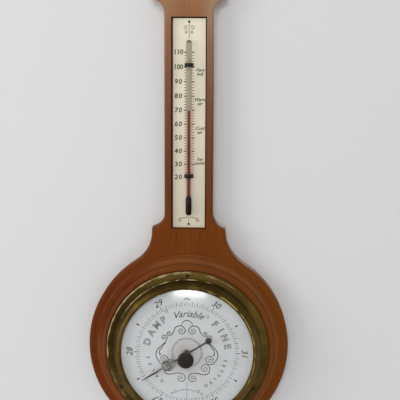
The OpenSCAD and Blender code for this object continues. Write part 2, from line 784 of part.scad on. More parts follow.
module pointer() {
    weight_h = pointer_h + hand_t / 2;
    color(black) at_dial() rotate([0, 0, hand_a]) difference() {
        union() {
            translate([0, 0, pointer_h]) linear_extrude(hand_t) {
                circle(collet_r);
                bar(0, pointer_ring_at - pointer_ring_r + pierced_w / 2, pointer_stem_w);
                bar(-tail_l, 0, pointer_stem_w);
                translate([pointer_ring_at - pointer_ring_r - pierced_w, 0]) circle(pointer_stem_w);
                pierced_ring(pointer_ring_at, pointer_ring_r);
                tapered_blade(pointer_ring_at + pointer_ring_r - pierced_w / 2, pointer_l, blade_w);
            }
            translate([-tail_l, 0, weight_h])
                turned(oval([0, 0], weight_r, weight_t / 2, -90, 90, 2 * arc_n));
        }
        disc(arbor_r + pierced_w + seat, pointer_h - cut, pointer_top_h + cut);
    }
}

module pointer_collet() {
    neck_r = arbor_r + pierced_w;
    bore = arbor_r + seat;
    rivet_h = pointer_top_h + hand_t / 2;
    color(brass) at_dial() turned([
        [bore, pointer_h - collet_h], [collet_r, pointer_h - collet_h], [collet_r, pointer_h],
        [neck_r, pointer_h], [neck_r, rivet_h], [bore, rivet_h]]);
}

module hand_arbor() {
    rim_r = pulley_line + chain_r + pulley_rim;
    color(steel) at_dial() turned([
        [0, cock_h], [arbor_pivot_r, cock_h], [arbor_pivot_r, cock_top_h + run], [arbor_r, cock_top_h + run],
        [arbor_r, hairspring_h], [hairspring_in_r - clear, hairspring_h],
        [hairspring_in_r - clear, hairspring_h + hairspring_t], [arbor_r, hairspring_h + hairspring_t],
        [arbor_r, chain_h - pulley_half - pulley_rim], [rim_r, chain_h - pulley_half - pulley_rim],
        [rim_r, chain_h - pulley_half], [pulley_r, chain_h - pulley_half], [pulley_r, chain_h + pulley_half],
        [rim_r, chain_h + pulley_half], [rim_r, chain_h + pulley_half + pulley_rim],
        [arbor_r, chain_h + pulley_half + pulley_rim], [arbor_r, arbor_top_h], [0, arbor_top_h]]);
}

module set_hand() {
    color(brass) at_dial() rotate([0, 0, hand_a + set_off]) difference() {
        union() {
            disc(set_boss_r, set_h - hand_t, set_boss_h);
            translate([0, 0, set_h]) linear_extrude(hand_t) {
                bar(0, set_ring_at - set_ring_r + pierced_w / 2, pointer_stem_w);
                pierced_ring(set_ring_at, set_ring_r);
                tapered_blade(set_ring_at + set_ring_r - pierced_w / 2, set_l, set_blade_w);
            }
        }
        disc(set_arbor_r + seat, set_h - hand_t - cut, set_boss_h + cut);
    }
}

module set_hand_arbor() {
    shoulder_h = nut_h - clear;
    color(brass) at_dial() turned([
        [0, set_h - hand_t], [set_arbor_r, set_h - hand_t], [set_arbor_r, set_boss_h],
        [2 * set_arbor_r, set_boss_h], [2 * set_arbor_r, shoulder_h], [set_arbor_r, shoulder_h],
        [set_arbor_r, set_arbor_top_h], [0, set_arbor_top_h]]);
}

module set_hand_bush() {
    bore = set_arbor_r + run;
    color(brass) at_dial() turned([
        [bore, nut_h], [bush_r, nut_h], [bush_r, glass_h + seat], [bush_flange_r, glass_h + seat],
        [bush_flange_r, bush_top_h - bush_flange_t / 3], [bush_flange_r - bush_flange_t / 3, bush_top_h],
        [bore, bush_top_h]]);
}

module bush_nut() {
    color(brass) at_dial() difference() {
        translate([0, 0, nut_h]) cylinder(r = bush_flange_r, h = bush_nut_t, $fn = 6);
        disc(bush_r + seat, nut_h - cut, nut_top_h + cut);
    }
}

module set_hand_knob() {
    knob_r = knob_d / 2;
    neck_r = knob_neck_d / 2;
    foot_h = knob_base_h + knob_foot;
    edge_h = knob_top_h - knob_dome - knob_edge_r;
    flare = edge_h - knob_rim - foot_h;
    bore = set_arbor_r + seat;
    bore_h = set_arbor_top_h + seat;
    color(dark_brown) at_dial() turned(concat(
        [[bore, knob_base_h], [neck_r, knob_base_h]],
        oval([knob_r, foot_h], knob_r - neck_r, flare, 180, 90, arc_n),
        arc([knob_r - knob_edge_r, edge_h], knob_edge_r, 0, 90, arc_n),
        [[0, knob_top_h], [0, bore_h], [bore, bore_h]]));
}

module base_plate() {
    color(brass) at_dial() difference() {
        disc(base_r, base_h, base_top_h);
        around(base_screw_circle_r, base_screw_ways) disc(screw_r + seat, base_h - cut, base_top_h + cut);
        around(pillar_circle_r, three_ways) disc(pillar_spigot_r + seat, base_h - cut, base_top_h + cut);
        disc(stud_r + seat, base_h - cut, base_top_h + cut);
        at_bracket_screws() disc(screw_r + seat, base_h - cut, base_top_h + cut);
        translate([-bridge_x, 0, 0]) disc(adjust_r + run, base_h - cut, base_top_h + cut);
        at_bridge_screws() {
            disc(screw_r + seat, base_h - cut, base_top_h + cut);
            translate([0, 0, base_h])
                cylinder(r1 = screw_r + screw_head_h + seat, r2 = screw_r + seat, h = screw_head_h);
        }
    }
}

module base_screws() {
    color(steel) at_dial() around(base_screw_circle_r, base_screw_ways) difference() {
        union() {
            disc(screw_head_r, drum_back - base_screw_head_h, drum_back);
            disc(screw_r, drum_back - base_screw_head_h / 2, base_top_h);
        }
        driver_cut(screw_head_r, drum_back - base_screw_head_h, base_screw_head_h);
    }
}

// Corrugated diaphragm from the centre boss to the rim, as heights above the flat
function wave(r) = corrugation * sin(360 * (r - stud_r) / corrugation_pitch) / 2;
diaphragm_radii = [for (i = [0:diaphragm_n]) 2 * stud_r + (capsule_r - 4 * stud_r) * i / diaphragm_n];

// One half of the capsule, with its face up, its rim on the plane of z = 0 and a boss round its core
module diaphragm(core_r, core_top, boss_top) {
    face = capsule_t / 2;
    wall_r = capsule_r - stud_r;
    turned(concat(
        [[0, core_top], [core_r, core_top], [core_r, boss_top], [2 * stud_r, boss_top]],
        [for (r = diaphragm_radii) [r, face + wave(r)]],
        [[wall_r, face], [wall_r, diaphragm_t], [capsule_r, diaphragm_t], [capsule_r, 0],
            [wall_r - diaphragm_t, 0], [wall_r - diaphragm_t, face - diaphragm_t]],
        [for (i = [len(diaphragm_radii) - 1:-1:0])
            [diaphragm_radii[i], face - diaphragm_t + wave(diaphragm_radii[i])]],
        [[0, face - diaphragm_t]]));
}

module capsule_top() {
    color(brass) at_dial() translate([0, 0, capsule_mid_h])
        diaphragm(post_r, spring_top_h + screw_head_h - capsule_mid_h, capsule_t / 2 + corrugation);
}

module capsule_base() {
    color(brass) at_dial() translate([0, 0, capsule_mid_h]) mirror([0, 0, 1])
        diaphragm(stud_r, capsule_mid_h - base_h, capsule_mid_h - base_top_h);
}

module capsule_nut() {
    color(steel) at_dial() difference() {
        translate([0, 0, spring_top_h]) cylinder(r = 2 * post_r, h = screw_head_h, $fn = 6);
        disc(post_r + seat, spring_top_h - cut, spring_top_h + screw_head_h + cut);
    }
}

module at_bridge_screws() { for (s = [-1, 1]) translate([-bridge_x, s * bridge_screw_y, 0]) children(); }

module at_spring_screws() { for (s = [-1, 1]) translate([-bridge_x, s * spring_screw_y, 0]) children(); }

module at_bracket_screws() { for (y = bracket_screw_ys) translate([rocker_x, y, 0]) children(); }

module spring_bridge() {
    shoulder_h = base_top_h + bridge_foot_h;
    neck_h = shoulder_h + bridge_slope;
    color(steel) at_dial() difference() {
        upright(-bridge_w / 2, bridge_w) translate([-bridge_x, 0]) polygon([
            [-bridge_foot, base_top_h], [bridge_foot, base_top_h], [bridge_foot, shoulder_h],
            [bridge_top, neck_h], [bridge_top, spring_h], [-bridge_top, spring_h], [-bridge_top, neck_h],
            [-bridge_foot, shoulder_h]]);
        translate([-bridge_x, 0, base_top_h]) rotate([0, 90, 0])
            cylinder(r = bridge_arch_r, h = 2 * bridge_foot + 2 * cut, center = true);
        at_bridge_screws() disc(screw_r + seat, base_top_h - cut, bridge_screw_top_h + clear);
        at_spring_screws() disc(screw_r + seat, spring_h - thread_l, spring_h + cut);
    }
}

module bridge_screws() {
    color(steel) at_dial() at_bridge_screws() difference() {
        turned([[0, base_h + seat], [screw_r + screw_head_h - seat, base_h + seat],
            [screw_r, base_h + screw_head_h], [screw_r, bridge_screw_top_h - screw_r],
            [0, bridge_screw_top_h]]);
        driver_cut(screw_r + screw_head_h, base_h, screw_head_h);
    }
}

module main_spring() {
    root_x = -bridge_x - bridge_top;
    color(steel) at_dial() difference() {
        translate([0, 0, spring_h]) linear_extrude(spring_t) polygon([
            [root_x, -spring_w / 2], [root_x + spring_root_l, -spring_w / 2], [0, -spring_tip_w / 2],
            [spring_tip_x, -spring_tip_w / 2], [spring_tip_x, spring_tip_w / 2], [0, spring_tip_w / 2],
            [root_x + spring_root_l, spring_w / 2], [root_x, spring_w / 2]]);
        disc(post_r + clear, spring_h - cut, spring_top_h + cut);
        at_spring_screws() disc(screw_r + seat, spring_h - cut, spring_top_h + cut);
    }
}

module main_lever() {
    reach = norm([crank_pin_x - lever_foot_x, link_y + link_t / 2]);
    bend = atan2(link_y + link_t / 2, crank_pin_x - lever_foot_x);
    color(brass) at_dial() translate([0, 0, spring_top_h]) linear_extrude(lever_t) {
        bar(lever_foot_x, spring_tip_x, lever_foot_w);
        translate([lever_foot_x + lever_w / 2, 0]) rotate(bend) bar(0, reach - lever_w / 2, lever_arm_w);
        translate([crank_pin_x, link_y + link_t / 2]) circle(lever_w / 2);
    }
}

module lever_link() {
    eye_r = crank_pin_r + link_play;
    color(brass) at_dial() upright(link_y, link_t) difference() {
        union() {
            translate([crank_pin_x, crank_pin_h]) circle(eye_r + link_t);
            translate([crank_pin_x - link_w / 2, crank_pin_h]) square([link_w, spring_top_h - crank_pin_h]);
        }
        translate([crank_pin_x, crank_pin_h]) circle(eye_r);
    }
}

module rocker_shaft() {
    hub_r = 2 * rocker_r;
    reach = bracket_gap + bracket_t;
    color(steel) at_dial() translate([rocker_x, 0, rocker_h]) rotate([0, rocker_tilt, 0]) {
        turned_up([
            [0, shaft_low - reach], [pivot_r, shaft_low - reach], [pivot_r, shaft_low], [rocker_r, shaft_low],
            [rocker_r, shaft_high], [pivot_r, shaft_high], [pivot_r, shaft_high + reach],
            [0, shaft_high + reach]]);
        upright(arm_y, arm_t) {
            circle(hub_r);
            polygon([[-rocker_r, 0], [rocker_r, 0], [arm_t, arm_l], [-arm_t, arm_l]]);
            translate([0, arm_l]) circle(arm_t);
        }
        upright(crank_y, arm_t) {
            circle(hub_r);
            bar(0, crank_l, 2 * rocker_r);
            translate([crank_l, 0]) circle(rocker_r);
        }
        upright(crank_y, arm_t + crank_pin_l) translate([crank_l, 0]) circle(crank_pin_r);
    }
}

module rocker_bracket() {
    low = shaft_low - bracket_gap - bracket_t;
    high = shaft_high + bracket_gap;
    color(brass) at_dial() difference() {
        union() {
            translate([rocker_x - bracket_w / 2, low, base_top_h])
                cube([bracket_w, high + bracket_t - low, bracket_foot_t]);
            for (y = [low, high]) upright(y, bracket_t) {
                translate([rocker_x - 2 * rocker_r, base_top_h]) square([4 * rocker_r, rocker_rise]);
                translate([rocker_x, rocker_h]) circle(2 * rocker_r);
            }
        }
        translate([rocker_x, low - cut, rocker_h]) rotate([-90, 0, 0])
            cylinder(r = pivot_r + run, h = high + bracket_t - low + 2 * cut);
        at_bracket_screws() disc(screw_r + seat, base_top_h - cut, base_top_h + bracket_foot_t + cut);
    }
}

module chain() {
    last_x = arm_end_x - arm_t - clear - chain_r;
    links = floor(last_x / chain_pitch);
    color(steel) at_dial() upright(pulley_line - chain_r / 2, chain_r) translate([0, chain_h]) {
        bar(0, last_x, chain_r);
        for (i = [0:links]) translate([last_x - i * chain_pitch, 0]) circle(chain_link_r);
    }
}

module hairspring() {
    steps = spiral_n * hairspring_turns;
    growth = (hairspring_out_r - hairspring_in_r) / steps;
    function spiral(w) = [for (i = [0:steps])
        on_circle(hairspring_in_r + growth * i + w, cock_a + 360 * (i - steps) / spiral_n)];
    inner = spiral(-hairspring_w / 2);
    outer = spiral(hairspring_w / 2);
    color(steel) at_dial() translate([0, 0, hairspring_h]) linear_extrude(hairspring_t)
        polygon(concat(outer, [for (i = [steps:-1:0]) inner[i]]));
}

module arbor_cock() {
    post = concat(on_circle(cock_reach, cock_a), 0);
    stud = concat(on_circle(hairspring_out_r + hairspring_w + hairspring_stud_r, cock_a), 0);
    color(brass) at_dial() difference() {
        union() {
            translate([0, 0, cock_h]) linear_extrude(cock_t) {
                circle(cock_post_r);
                rotate(cock_a) bar(0, cock_reach, cock_w);
                translate([post[0], post[1]]) circle(cock_post_r + cock_t / 2);
            }
            translate(post) disc(cock_post_r, cock_h, top_plate_h);
            translate(stud) disc(hairspring_stud_r, cock_h, hairspring_h + 2 * hairspring_t);
        }
        disc(arbor_pivot_r + run, cock_h - cut, cock_top_h + cut);
        translate(post) disc(screw_r + seat, top_plate_h - cock_screw_l, top_plate_h + cut);
    }
}

module top_plate() {
    color(brass) at_dial() difference() {
        disc(base_r, top_plate_h, top_plate_top_h);
        disc(arbor_r + run, top_plate_h - cut, top_plate_top_h + cut);
        around(pillar_circle_r, three_ways) disc(screw_r + seat, top_plate_h - cut, top_plate_top_h + cut);
        around(base_r / 2, base_screw_ways) disc(window_r, top_plate_h - cut, top_plate_top_h + cut);
        around(cock_reach, [cock_a]) disc(screw_r + seat, top_plate_h - cut, top_plate_top_h + cut);
    }
}

module pillars() {
    color(brass) at_dial() around(pillar_circle_r, three_ways) difference() {
        turned([[0, base_h], [pillar_spigot_r, base_h], [pillar_spigot_r, base_top_h], [pillar_r, base_top_h],
            [pillar_r, top_plate_h], [0, top_plate_h]]);
        disc(screw_r + seat, top_plate_h - thread_l, top_plate_h + cut);
    }
}

module movement_screws() {
    color(steel) at_dial() {
        at_spring_screws() screw(spring_top_h, spring_t + thread_l - clear);
        at_bracket_screws() screw(base_top_h + bracket_foot_t, bracket_foot_t + base_t - seat);
        around(pillar_circle_r, three_ways) screw(top_plate_top_h, top_plate_t + thread_l - clear);
        around(cock_reach, [cock_a]) screw(top_plate_top_h, top_plate_t + cock_screw_l - clear);
    }
}

module adjusting_screw() {
    tip_h = base_top_h + bridge_arch_r - clear;
    color(brass) at_dial() translate([-bridge_x, 0, 0]) difference() {
        turned([[0, adjust_head_h], [adjust_head_r, adjust_head_h], [adjust_head_r, base_h - run],
            [adjust_r, base_h - run], [adjust_r, tip_h - adjust_r], [0, tip_h]]);
        driver_cut(adjust_head_r, adjust_head_h, base_h - adjust_head_h);
    }
}

case();
surround();
hanger_plate();
hanger_screws();
thermometer_plate();
thermometer_tube();
thermometer_spirit();
tube_clips();
plate_pins();
movement_drum();
bezel();
bezel_pins();
glass();
glass_ring();
dial();
pointer();
pointer_collet();
hand_arbor();
set_hand();
set_hand_arbor();
set_hand_bush();
bush_nut();
set_hand_knob();
base_plate();
base_screws();
capsule_base();
capsule_top();
capsule_nut();
spring_bridge();
bridge_screws();
main_spring();
main_lever();
lever_link();
rocker_shaft();
rocker_bracket();
chain();
hairspring();
arbor_cock();
top_plate();
pillars();
movement_screws();
adjusting_screw();
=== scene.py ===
import json
import math

import bpy
from mathutils import Matrix, Vector

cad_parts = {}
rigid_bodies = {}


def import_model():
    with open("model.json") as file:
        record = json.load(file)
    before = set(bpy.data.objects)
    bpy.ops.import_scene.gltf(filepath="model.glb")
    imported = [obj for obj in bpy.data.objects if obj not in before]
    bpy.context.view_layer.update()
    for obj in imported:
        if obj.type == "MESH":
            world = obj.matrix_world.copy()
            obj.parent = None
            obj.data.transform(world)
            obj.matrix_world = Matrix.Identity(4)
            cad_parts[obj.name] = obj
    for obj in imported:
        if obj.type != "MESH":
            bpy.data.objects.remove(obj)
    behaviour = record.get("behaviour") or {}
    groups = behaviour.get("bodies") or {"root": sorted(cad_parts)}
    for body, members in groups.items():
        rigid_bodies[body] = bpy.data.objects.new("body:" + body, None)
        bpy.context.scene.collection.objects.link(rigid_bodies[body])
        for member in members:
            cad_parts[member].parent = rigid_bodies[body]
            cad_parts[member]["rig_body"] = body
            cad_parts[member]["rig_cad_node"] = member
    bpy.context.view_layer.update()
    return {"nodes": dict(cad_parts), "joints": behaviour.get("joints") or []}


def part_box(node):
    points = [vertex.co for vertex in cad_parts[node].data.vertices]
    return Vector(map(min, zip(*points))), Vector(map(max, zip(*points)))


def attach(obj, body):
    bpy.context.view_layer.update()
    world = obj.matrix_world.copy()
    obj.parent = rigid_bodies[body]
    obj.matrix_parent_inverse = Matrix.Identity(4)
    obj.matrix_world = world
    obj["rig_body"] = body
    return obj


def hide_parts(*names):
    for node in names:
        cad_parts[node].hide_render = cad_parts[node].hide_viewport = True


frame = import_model()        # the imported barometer, in metres
nodes = frame["nodes"]
mm = 0.001
caseBody = "barometer_case"

pointerJoint = next(joint for joint in frame["joints"] if joint["name"] == "pointer_turn")
dialAxis = Vector(pointerJoint["pos_m"])
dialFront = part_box("dial")[0].y      # the front faces -Y, so a front is a lowest y
plateLow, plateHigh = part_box("thermometer_plate")
plateFront = plateLow.y
spiritLow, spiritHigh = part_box("thermometer_spirit")
tubeLow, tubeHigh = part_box("thermometer_tube")
pinLow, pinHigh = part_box("plate_pins")


def riseOf(spot):  # height above the dial's axis, in millimetres
    return (spot.z - dialAxis.z) / mm


print("frame loaded,", len(nodes), "nodes")


# Shader maths

class Signal:  # a node's output that can stand in a sum
    def __init__(self, paint, socket):
        self.paint = paint
        self.socket = socket

    def combined(self, operation, first, second):
        return self.paint.node("Math", {"operation": operation}, {0: first, 1: second})

    def __add__(self, other):
        return self.combined("ADD", self, other)

    def __radd__(self, other):
        return self.combined("ADD", other, self)

    def __sub__(self, other):
        return self.combined("SUBTRACT", self, other)

    def __rsub__(self, other):
        return self.combined("SUBTRACT", other, self)

    def __mul__(self, other):
        return self.combined("MULTIPLY", self, other)

    def __rmul__(self, other):
        return self.combined("MULTIPLY", other, self)

    def __truediv__(self, other):
        return self.combined("DIVIDE", self, other)

    def __rtruediv__(self, other):
        return self.combined("DIVIDE", other, self)

    def above(self, other):
        return self.combined("GREATER_THAN", self, other)

    def below(self, other):
        return self.combined("LESS_THAN", self, other)

    def most(self, other):
        return self.combined("MAXIMUM", self, other)

    def size(self):
        return self.paint.node("Math", {"operation": "ABSOLUTE"}, {0: self})

    def held(self):  # kept between nought and one
        return self.paint.node("Clamp", {}, {"Value": self})

    def rising(self, start, reach):  # nought up to the start, one when the reach is past
        return ((self - start) / reach).held()

    def near(self, at, width):  # one at a value, nought a width away from it
        return (1 - (self - at).size() / width).held()

    def focused(self, sharpness):  # one stays one, and what is less falls off faster
        return (self * sharpness - (sharpness - 1)).held()


class Paint:  # one material, its nodes and its Principled shader
    def __init__(self, name):
        self.material = bpy.data.materials.new(name)
        self.material.use_nodes = True
        self.tree = self.material.node_tree
        self.shader = self.tree.nodes["Principled BSDF"]
        self.place = self.node("TexCoord", {}, {}, "Object")

    def node(self, kind, settings, inputs, output=0):
        made = self.tree.nodes.new("ShaderNode" + kind)
        for name, value in settings.items():
            if name == "stops":
                self.setStops(made.color_ramp, value)
            else:
                setattr(made, name, value)
        for name, value in inputs.items():
            self.feed(made.inputs[name], value)
        return Signal(self, made.outputs[output])

    def setStops(self, ramp, stops):
        while len(ramp.elements) < len(stops):
            ramp.elements.new(1.0)
        for element, (at, colour) in zip(ramp.elements, stops):
            element.position = at
            element.color = colour if hasattr(colour, "__len__") else (colour, colour, colour, 1)

    def feed(self, socket, value):
        if isinstance(value, Signal):
            self.tree.links.new(value.socket, socket)
        else:
            socket.default_value = value

    def set(self, **inputs):
        for name, value in inputs.items():
            self.feed(self.shader.inputs[name.replace("_", " ")], value)
        return self.material

    def surface(self, shader):  # this shader is what shows
        self.feed(self.tree.nodes["Material Output"].inputs["Surface"], shader)
        return self.material

    def principled(self):
        return Signal(self, self.shader.outputs[0])

    def stretched(self, scale):
        return self.node("Mapping", {}, {"Vector": self.place, "Scale": scale})

    def noise(self, where, scale, detail=4, rough=0.55, distort=0):
        return self.node("TexNoise", {}, {
            "Vector": where, "Scale": scale, "Detail": detail, "Roughness": rough, "Distortion": distort})

    def ramp(self, value, stops):
        return self.node("ValToRGB", {"stops": stops}, {"Fac": value})

    def mix(self, share, first, second):  # colours are signals or screen colours
        return self.node("Mix", {"data_type": "RGBA"}, {0: share, 6: tone(first), 7: tone(second)}, 2)

    def axes(self):
        split = self.node("SeparateXYZ", {}, {"Vector": self.place})
        return [Signal(self, socket) for socket in split.socket.node.outputs]

    def aboutDial(self):  # right of and above the dial's axis, in millimetres
        x, _, z = self.axes()
        return (x - dialAxis.x) / mm, (z - dialAxis.z) / mm

    def radius(self):  # distance from the dial's axis, in millimetres
        axis = (dialAxis.x, 0, dialAxis.z)
        flat = self.node("VectorMath", {"operation": "SUBTRACT"}, {0: self.place, 1: axis})
        flat = self.node("VectorMath", {"operation": "MULTIPLY"}, {0: flat, 1: (1, 0, 1)})
        return self.node("VectorMath", {"operation": "LENGTH"}, {0: flat}, "Value") / mm

    def bump(self, height, depth, strength):  # depth in millimetres
        return self.node("Bump", {}, {"Height": height, "Distance": depth * mm, "Strength": strength})


def tone(colour):  # a screen colour from 0 to 255 as the shader's own, and a signal as it is
    if isinstance(colour, Signal):
        return colour
    return tuple(((part / 255 + 0.055) / 1.055) ** 2.4 for part in colour) + (1,)


def shaded(colour, share):
    return tuple(part * share for part in colour)


# Wood: radii, rises and widths in millimetres about the dial's axis

mahogany = {
    "dark": (90, 38, 9), "mid": (104, 47, 11), "light": (118, 58, 16),
    "bandScale": (26, 26, 2.4), "fibreScale": (420, 420, 14), "bandShare": 0.65, "grainDepth": 0.12,
    "pore": (54, 22, 6), "poreScale": (1400, 1400, 45), "poreShare": 0.3, "grainBump": 0.3,
    "golden": (122, 70, 16), "goldenShare": 0.55, "sunReach": 130,
    "topSheenTint": (168, 121, 85), "topSheenFrom": 78, "topSheenTo": 300, "topSheenShare": 0.8, "topSheenFigure": 0.6,
    "stripSheen": (168, 143, 121), "stripSheenFrom": 8, "stripSheenReach": 18, "stripSheenShare": 1.7, "stripSheenTilt": 20,
    "headReach": 20, "headShare": 0.65,
    "dulled": (92, 68, 50), "dullFrom": 100, "dullReach": 40, "dullShare": 0.3,
    "slot": (22, 9, 2), "slotShare": 0.96, "slotHalf": 14.2, "slotMouth": -13.4, "slotTop": 262,
    "ring": 70, "upperLeftSide": (-0.82, 0.57), "upperLeftTo": 0.97, "upperLeftReach": 0.15,
    "grime": (58, 28, 8), "grimeAt": 64.7, "grimeWidth": 0.9, "grimeSpread": 2.2, "grimeShare": 0.8,
    "rim": (150, 96, 58), "rimAt": 71.8, "rimWidth": 1.4, "rimShare": 0.9,
    "groove": (150, 100, 60), "grooveAt": 69.2, "grooveWidth": 3.0, "grooveShare": 0.06, "grooveRubbed": 0.32,
    "bare": (150, 110, 76), "backSkin": 0.4,
    "rough": 0.34, "handled": 0.18, "backRough": 0.3, "slotRough": 0.6, "coat": 0.05, "coatRough": 0.16,
    "shine": 0.05,
}


def polishedWood(name, look):
    paint = Paint(name)
    band = paint.noise(paint.stretched(look["bandScale"]), 1.0, 3, 0.6, 0.6)
    fibre = paint.noise(paint.stretched(look["fibreScale"]), 1.0, 4, 0.65)
    pore = paint.noise(paint.stretched(look["poreScale"]), 1.0, 2, 0.5)
    pore = paint.ramp(pore, [(0.56, 0.0), (0.72, 1.0)])
    figure = band * look["bandShare"] + fibre * (1 - look["bandShare"])
    stops = [(0.34, tone(look["dark"])), (0.5, tone(look["mid"])), (0.68, tone(look["light"]))]
    colour = paint.ramp(figure, stops)
    across, rise = paint.aboutDial()
    depth = paint.axes()[1]
    radius = paint.radius()

    mottle = paint.noise(paint.place, 16, 3)
    sunned = (across / look["sunReach"] + mottle).held()  # the right side has had more sun
    colour = paint.mix(sunned * look["goldenShare"], colour, look["golden"])
    # The upper stem is paler: painted sheen of light from above
    topSheen = rise.rising(look["topSheenFrom"], look["topSheenTo"] - look["topSheenFrom"])
    topSheen = topSheen * topSheen * topSheen  # painted sheen of light from above: hardly any until high on the stem
    colour = paint.mix(topSheen * (look["topSheenShare"] + figure * look["topSheenFigure"]), colour, look["topSheenTint"])
    # The stem's side strips paler and greyer high up, more on the right: painted sheen of light from above,
    # less at the head
    stripSheen = across.size().rising(look["stripSheenFrom"], look["stripSheenReach"])
    stripSheen = topSheen * stripSheen * (look["stripSheenShare"] + across / look["stripSheenTilt"])
    stripSheen = stripSheen * (1 - rise.rising(look["slotTop"], look["headReach"]) * look["headShare"])
    colour = paint.mix(stripSheen, colour, look["stripSheen"])
    dulled = rise.rising(look["dullFrom"], look["dullReach"]) * (1 - topSheen)  # the stem is browner
    colour = paint.mix(dulled * look["dullShare"], colour, look["dulled"])
    colour = paint.mix(pore * look["poreShare"], colour, look["pore"])

    # Inside the slot round the plate the wood is painted almost black as shade; it is also left unpolished
    # there
    inSlot = across.size().below(look["slotHalf"]) * depth.above(look["slotMouth"] * mm)
    inSlot = inSlot * rise.above(riseOf(plateLow)) * rise.below(look["slotTop"])
    colour = paint.mix(inSlot * look["slotShare"], colour, look["slot"])

    # Noise for handling wear in the gloss, and for breaking up the painted highlight
    handlingAndGlint = paint.noise(paint.place, 38, 3)
    sideX, sideZ = look["upperLeftSide"]
    upperLeft = (rise * sideZ + across * sideX) / look["ring"]
    awayFromUpperLeft = ((look["upperLeftTo"] - upperLeft) / look["upperLeftReach"]).held()  # one all round but at the upper left; it places the painted shadow, highlight and groove light
    # A ring of painted shadow round the bezel's flange, widest at the upper left
    spread = look["grimeWidth"] + (1 - awayFromUpperLeft) * look["grimeSpread"]
    grime = radius.near(look["grimeAt"], spread)
    colour = paint.mix(grime * look["grimeShare"], colour, look["grime"])
    # A painted highlight along the turned rim, broken up by noise, none at the upper left
    rim = radius.near(look["rimAt"], look["rimWidth"])
    colour = paint.mix(rim * handlingAndGlint * awayFromUpperLeft * look["rimShare"], colour, look["rim"])
    # The groove's band painted lighter as light falling on it, least at the upper left
    groove = radius.near(look["grooveAt"], look["grooveWidth"])
    colour = paint.mix(groove * (look["grooveShare"] + awayFromUpperLeft * look["grooveRubbed"]), colour, look["groove"])

    back = depth.above(-look["backSkin"] * mm)  # the back was never polished
    colour = paint.mix(back, colour, paint.mix(figure, look["bare"], look["light"]))
    unpolished = (back * look["backRough"]).most(inSlot * look["slotRough"])
    return paint.set(
        Base_Color=colour, Roughness=look["rough"] + handlingAndGlint * look["handled"] + unpolished,
        Specular_IOR_Level=look["shine"], Coat_Roughness=look["coatRough"],
        Coat_Weight=look["coat"] - back.most(inSlot) * look["coat"],
        Normal=paint.bump(fibre * 0.5 - pore * 0.5, look["grainDepth"], look["grainBump"]))


# Metals

oldBrass = {
    "metal": (122, 99, 48), "tarnish": (68, 52, 22), "ragged": 0.8, "flangeFrom": 58.8, "topReach": 60,
    "flangeSheen": 0.45, "rightReach": 150, "coneTopShade": 0.3,
    "lipBand": 54.4, "lipWidth": 2, "lipReach": 45, "lipSheen": 0.5,
    "grime": (36, 25, 10), "grimeSide": -62, "grimeFrom": 0.78, "grimeReach": 0.2, "grimeShare": 0.65,
    "topGrime": 0.3,
    "wornAndGlint": (204, 182, 134), "lip": (172, 154, 84), "lipTo": 56, "wearGlintFocus": 1.4,
    "wearGlintPatch": 3.2, "wearGlintFloor": 1.05, "wearGlintFleck": 0.6,
    "rough": 0.36, "tarnishRough": 0.2, "wornSmooth": 0.12, "fleckDepth": 0.05, "fleckBump": 0.3,
    "wornAndLitRings": [  # radius, width, degrees clockwise from the top where it is worn and lit most, share
        (63.6, 0.62, -42, 1.25), (62.6, 0.45, -4, 0.65), (62.7, 0.7, -118, 0.4), (58.2, 0.36, -25, 0.66),
        (53.3, 0.9, 72, 0.9), (51.9, 0.6, -5, 0.5),
    ],
}


def agedBrass(name, look):
    paint = Paint(name)
    radius = paint.radius() + (paint.noise(paint.place, 380, 3) - 0.5) * look["ragged"]
    cloud = paint.noise(paint.place, 55, 4, 0.55)
    fleck = paint.noise(paint.place, 900, 3, 0.6)
    across, rise = paint.aboutDial()

    def toward(degrees):  # how far a spot lies to one side
        side = math.radians(degrees)
        return across * math.sin(side) + rise * math.cos(side)

    # Bright edge rings: real wear, with painted highlight aimed to one side of each
    edge = 0.0
    for at, width, degrees, share in look["wornAndLitRings"]:
        edge = radius.near(at, width) * (toward(degrees) / at).focused(look["wearGlintFocus"]) * share + edge
    tarnish = paint.ramp(cloud * 0.7 + fleck * 0.3, [(0.3, 0.2), (0.58, 1.0)])
    flange = radius.above(look["flangeFrom"])
    # Tarnish is thinned where painted sheen falls: on the flange's top, the cone's right and the cone's left
    # by the lip; the cone's top keeps more, as painted shade
    high = (rise / look["topReach"]).held()
    byLip = radius.near(look["lipBand"], look["lipWidth"]) * (0 - across / look["lipReach"]).held()
    inner = (across / look["rightReach"]).held() - high * look["coneTopShade"] + byLip * look["lipSheen"]
    paintedSheen = flange * high * look["flangeSheen"] + (1 - flange) * inner
    tarnish = (tarnish - tarnish * paintedSheen).held()
    colour = paint.mix(tarnish, look["metal"], look["tarnish"])
    # Painted shade on the flange towards its left and on the cone's top
    brassShade = (toward(look["grimeSide"]) / radius).rising(look["grimeFrom"], look["grimeReach"])
    brassShade = flange * brassShade * look["grimeShare"] + (1 - flange) * high * look["topGrime"]
    colour = paint.mix(brassShade, colour, look["grime"])
    patch = paint.noise(paint.place, 140, 2)
    patch = patch * look["wearGlintPatch"] - look["wearGlintFloor"] + fleck * look["wearGlintFleck"]
    wearAndGlint = paint.ramp(edge * patch, [(0.25, 0.0), (0.6, 1.0)])
    colour = paint.mix(wearAndGlint, colour, paint.mix(radius.above(look["lipTo"]), look["lip"], look["wornAndGlint"]))
    return paint.set(
        Base_Color=colour, Metallic=1.0,
        Roughness=look["rough"] + tarnish * look["tarnishRough"] - wearAndGlint * look["wornSmooth"],
        Normal=paint.bump(fleck, look["fleckDepth"], look["fleckBump"]))


metalLook = {"dull": 0.72, "dullShare": 0.5, "scratchRough": 0.15, "scratchDepth": 0.02, "scratchBump": 0.3}


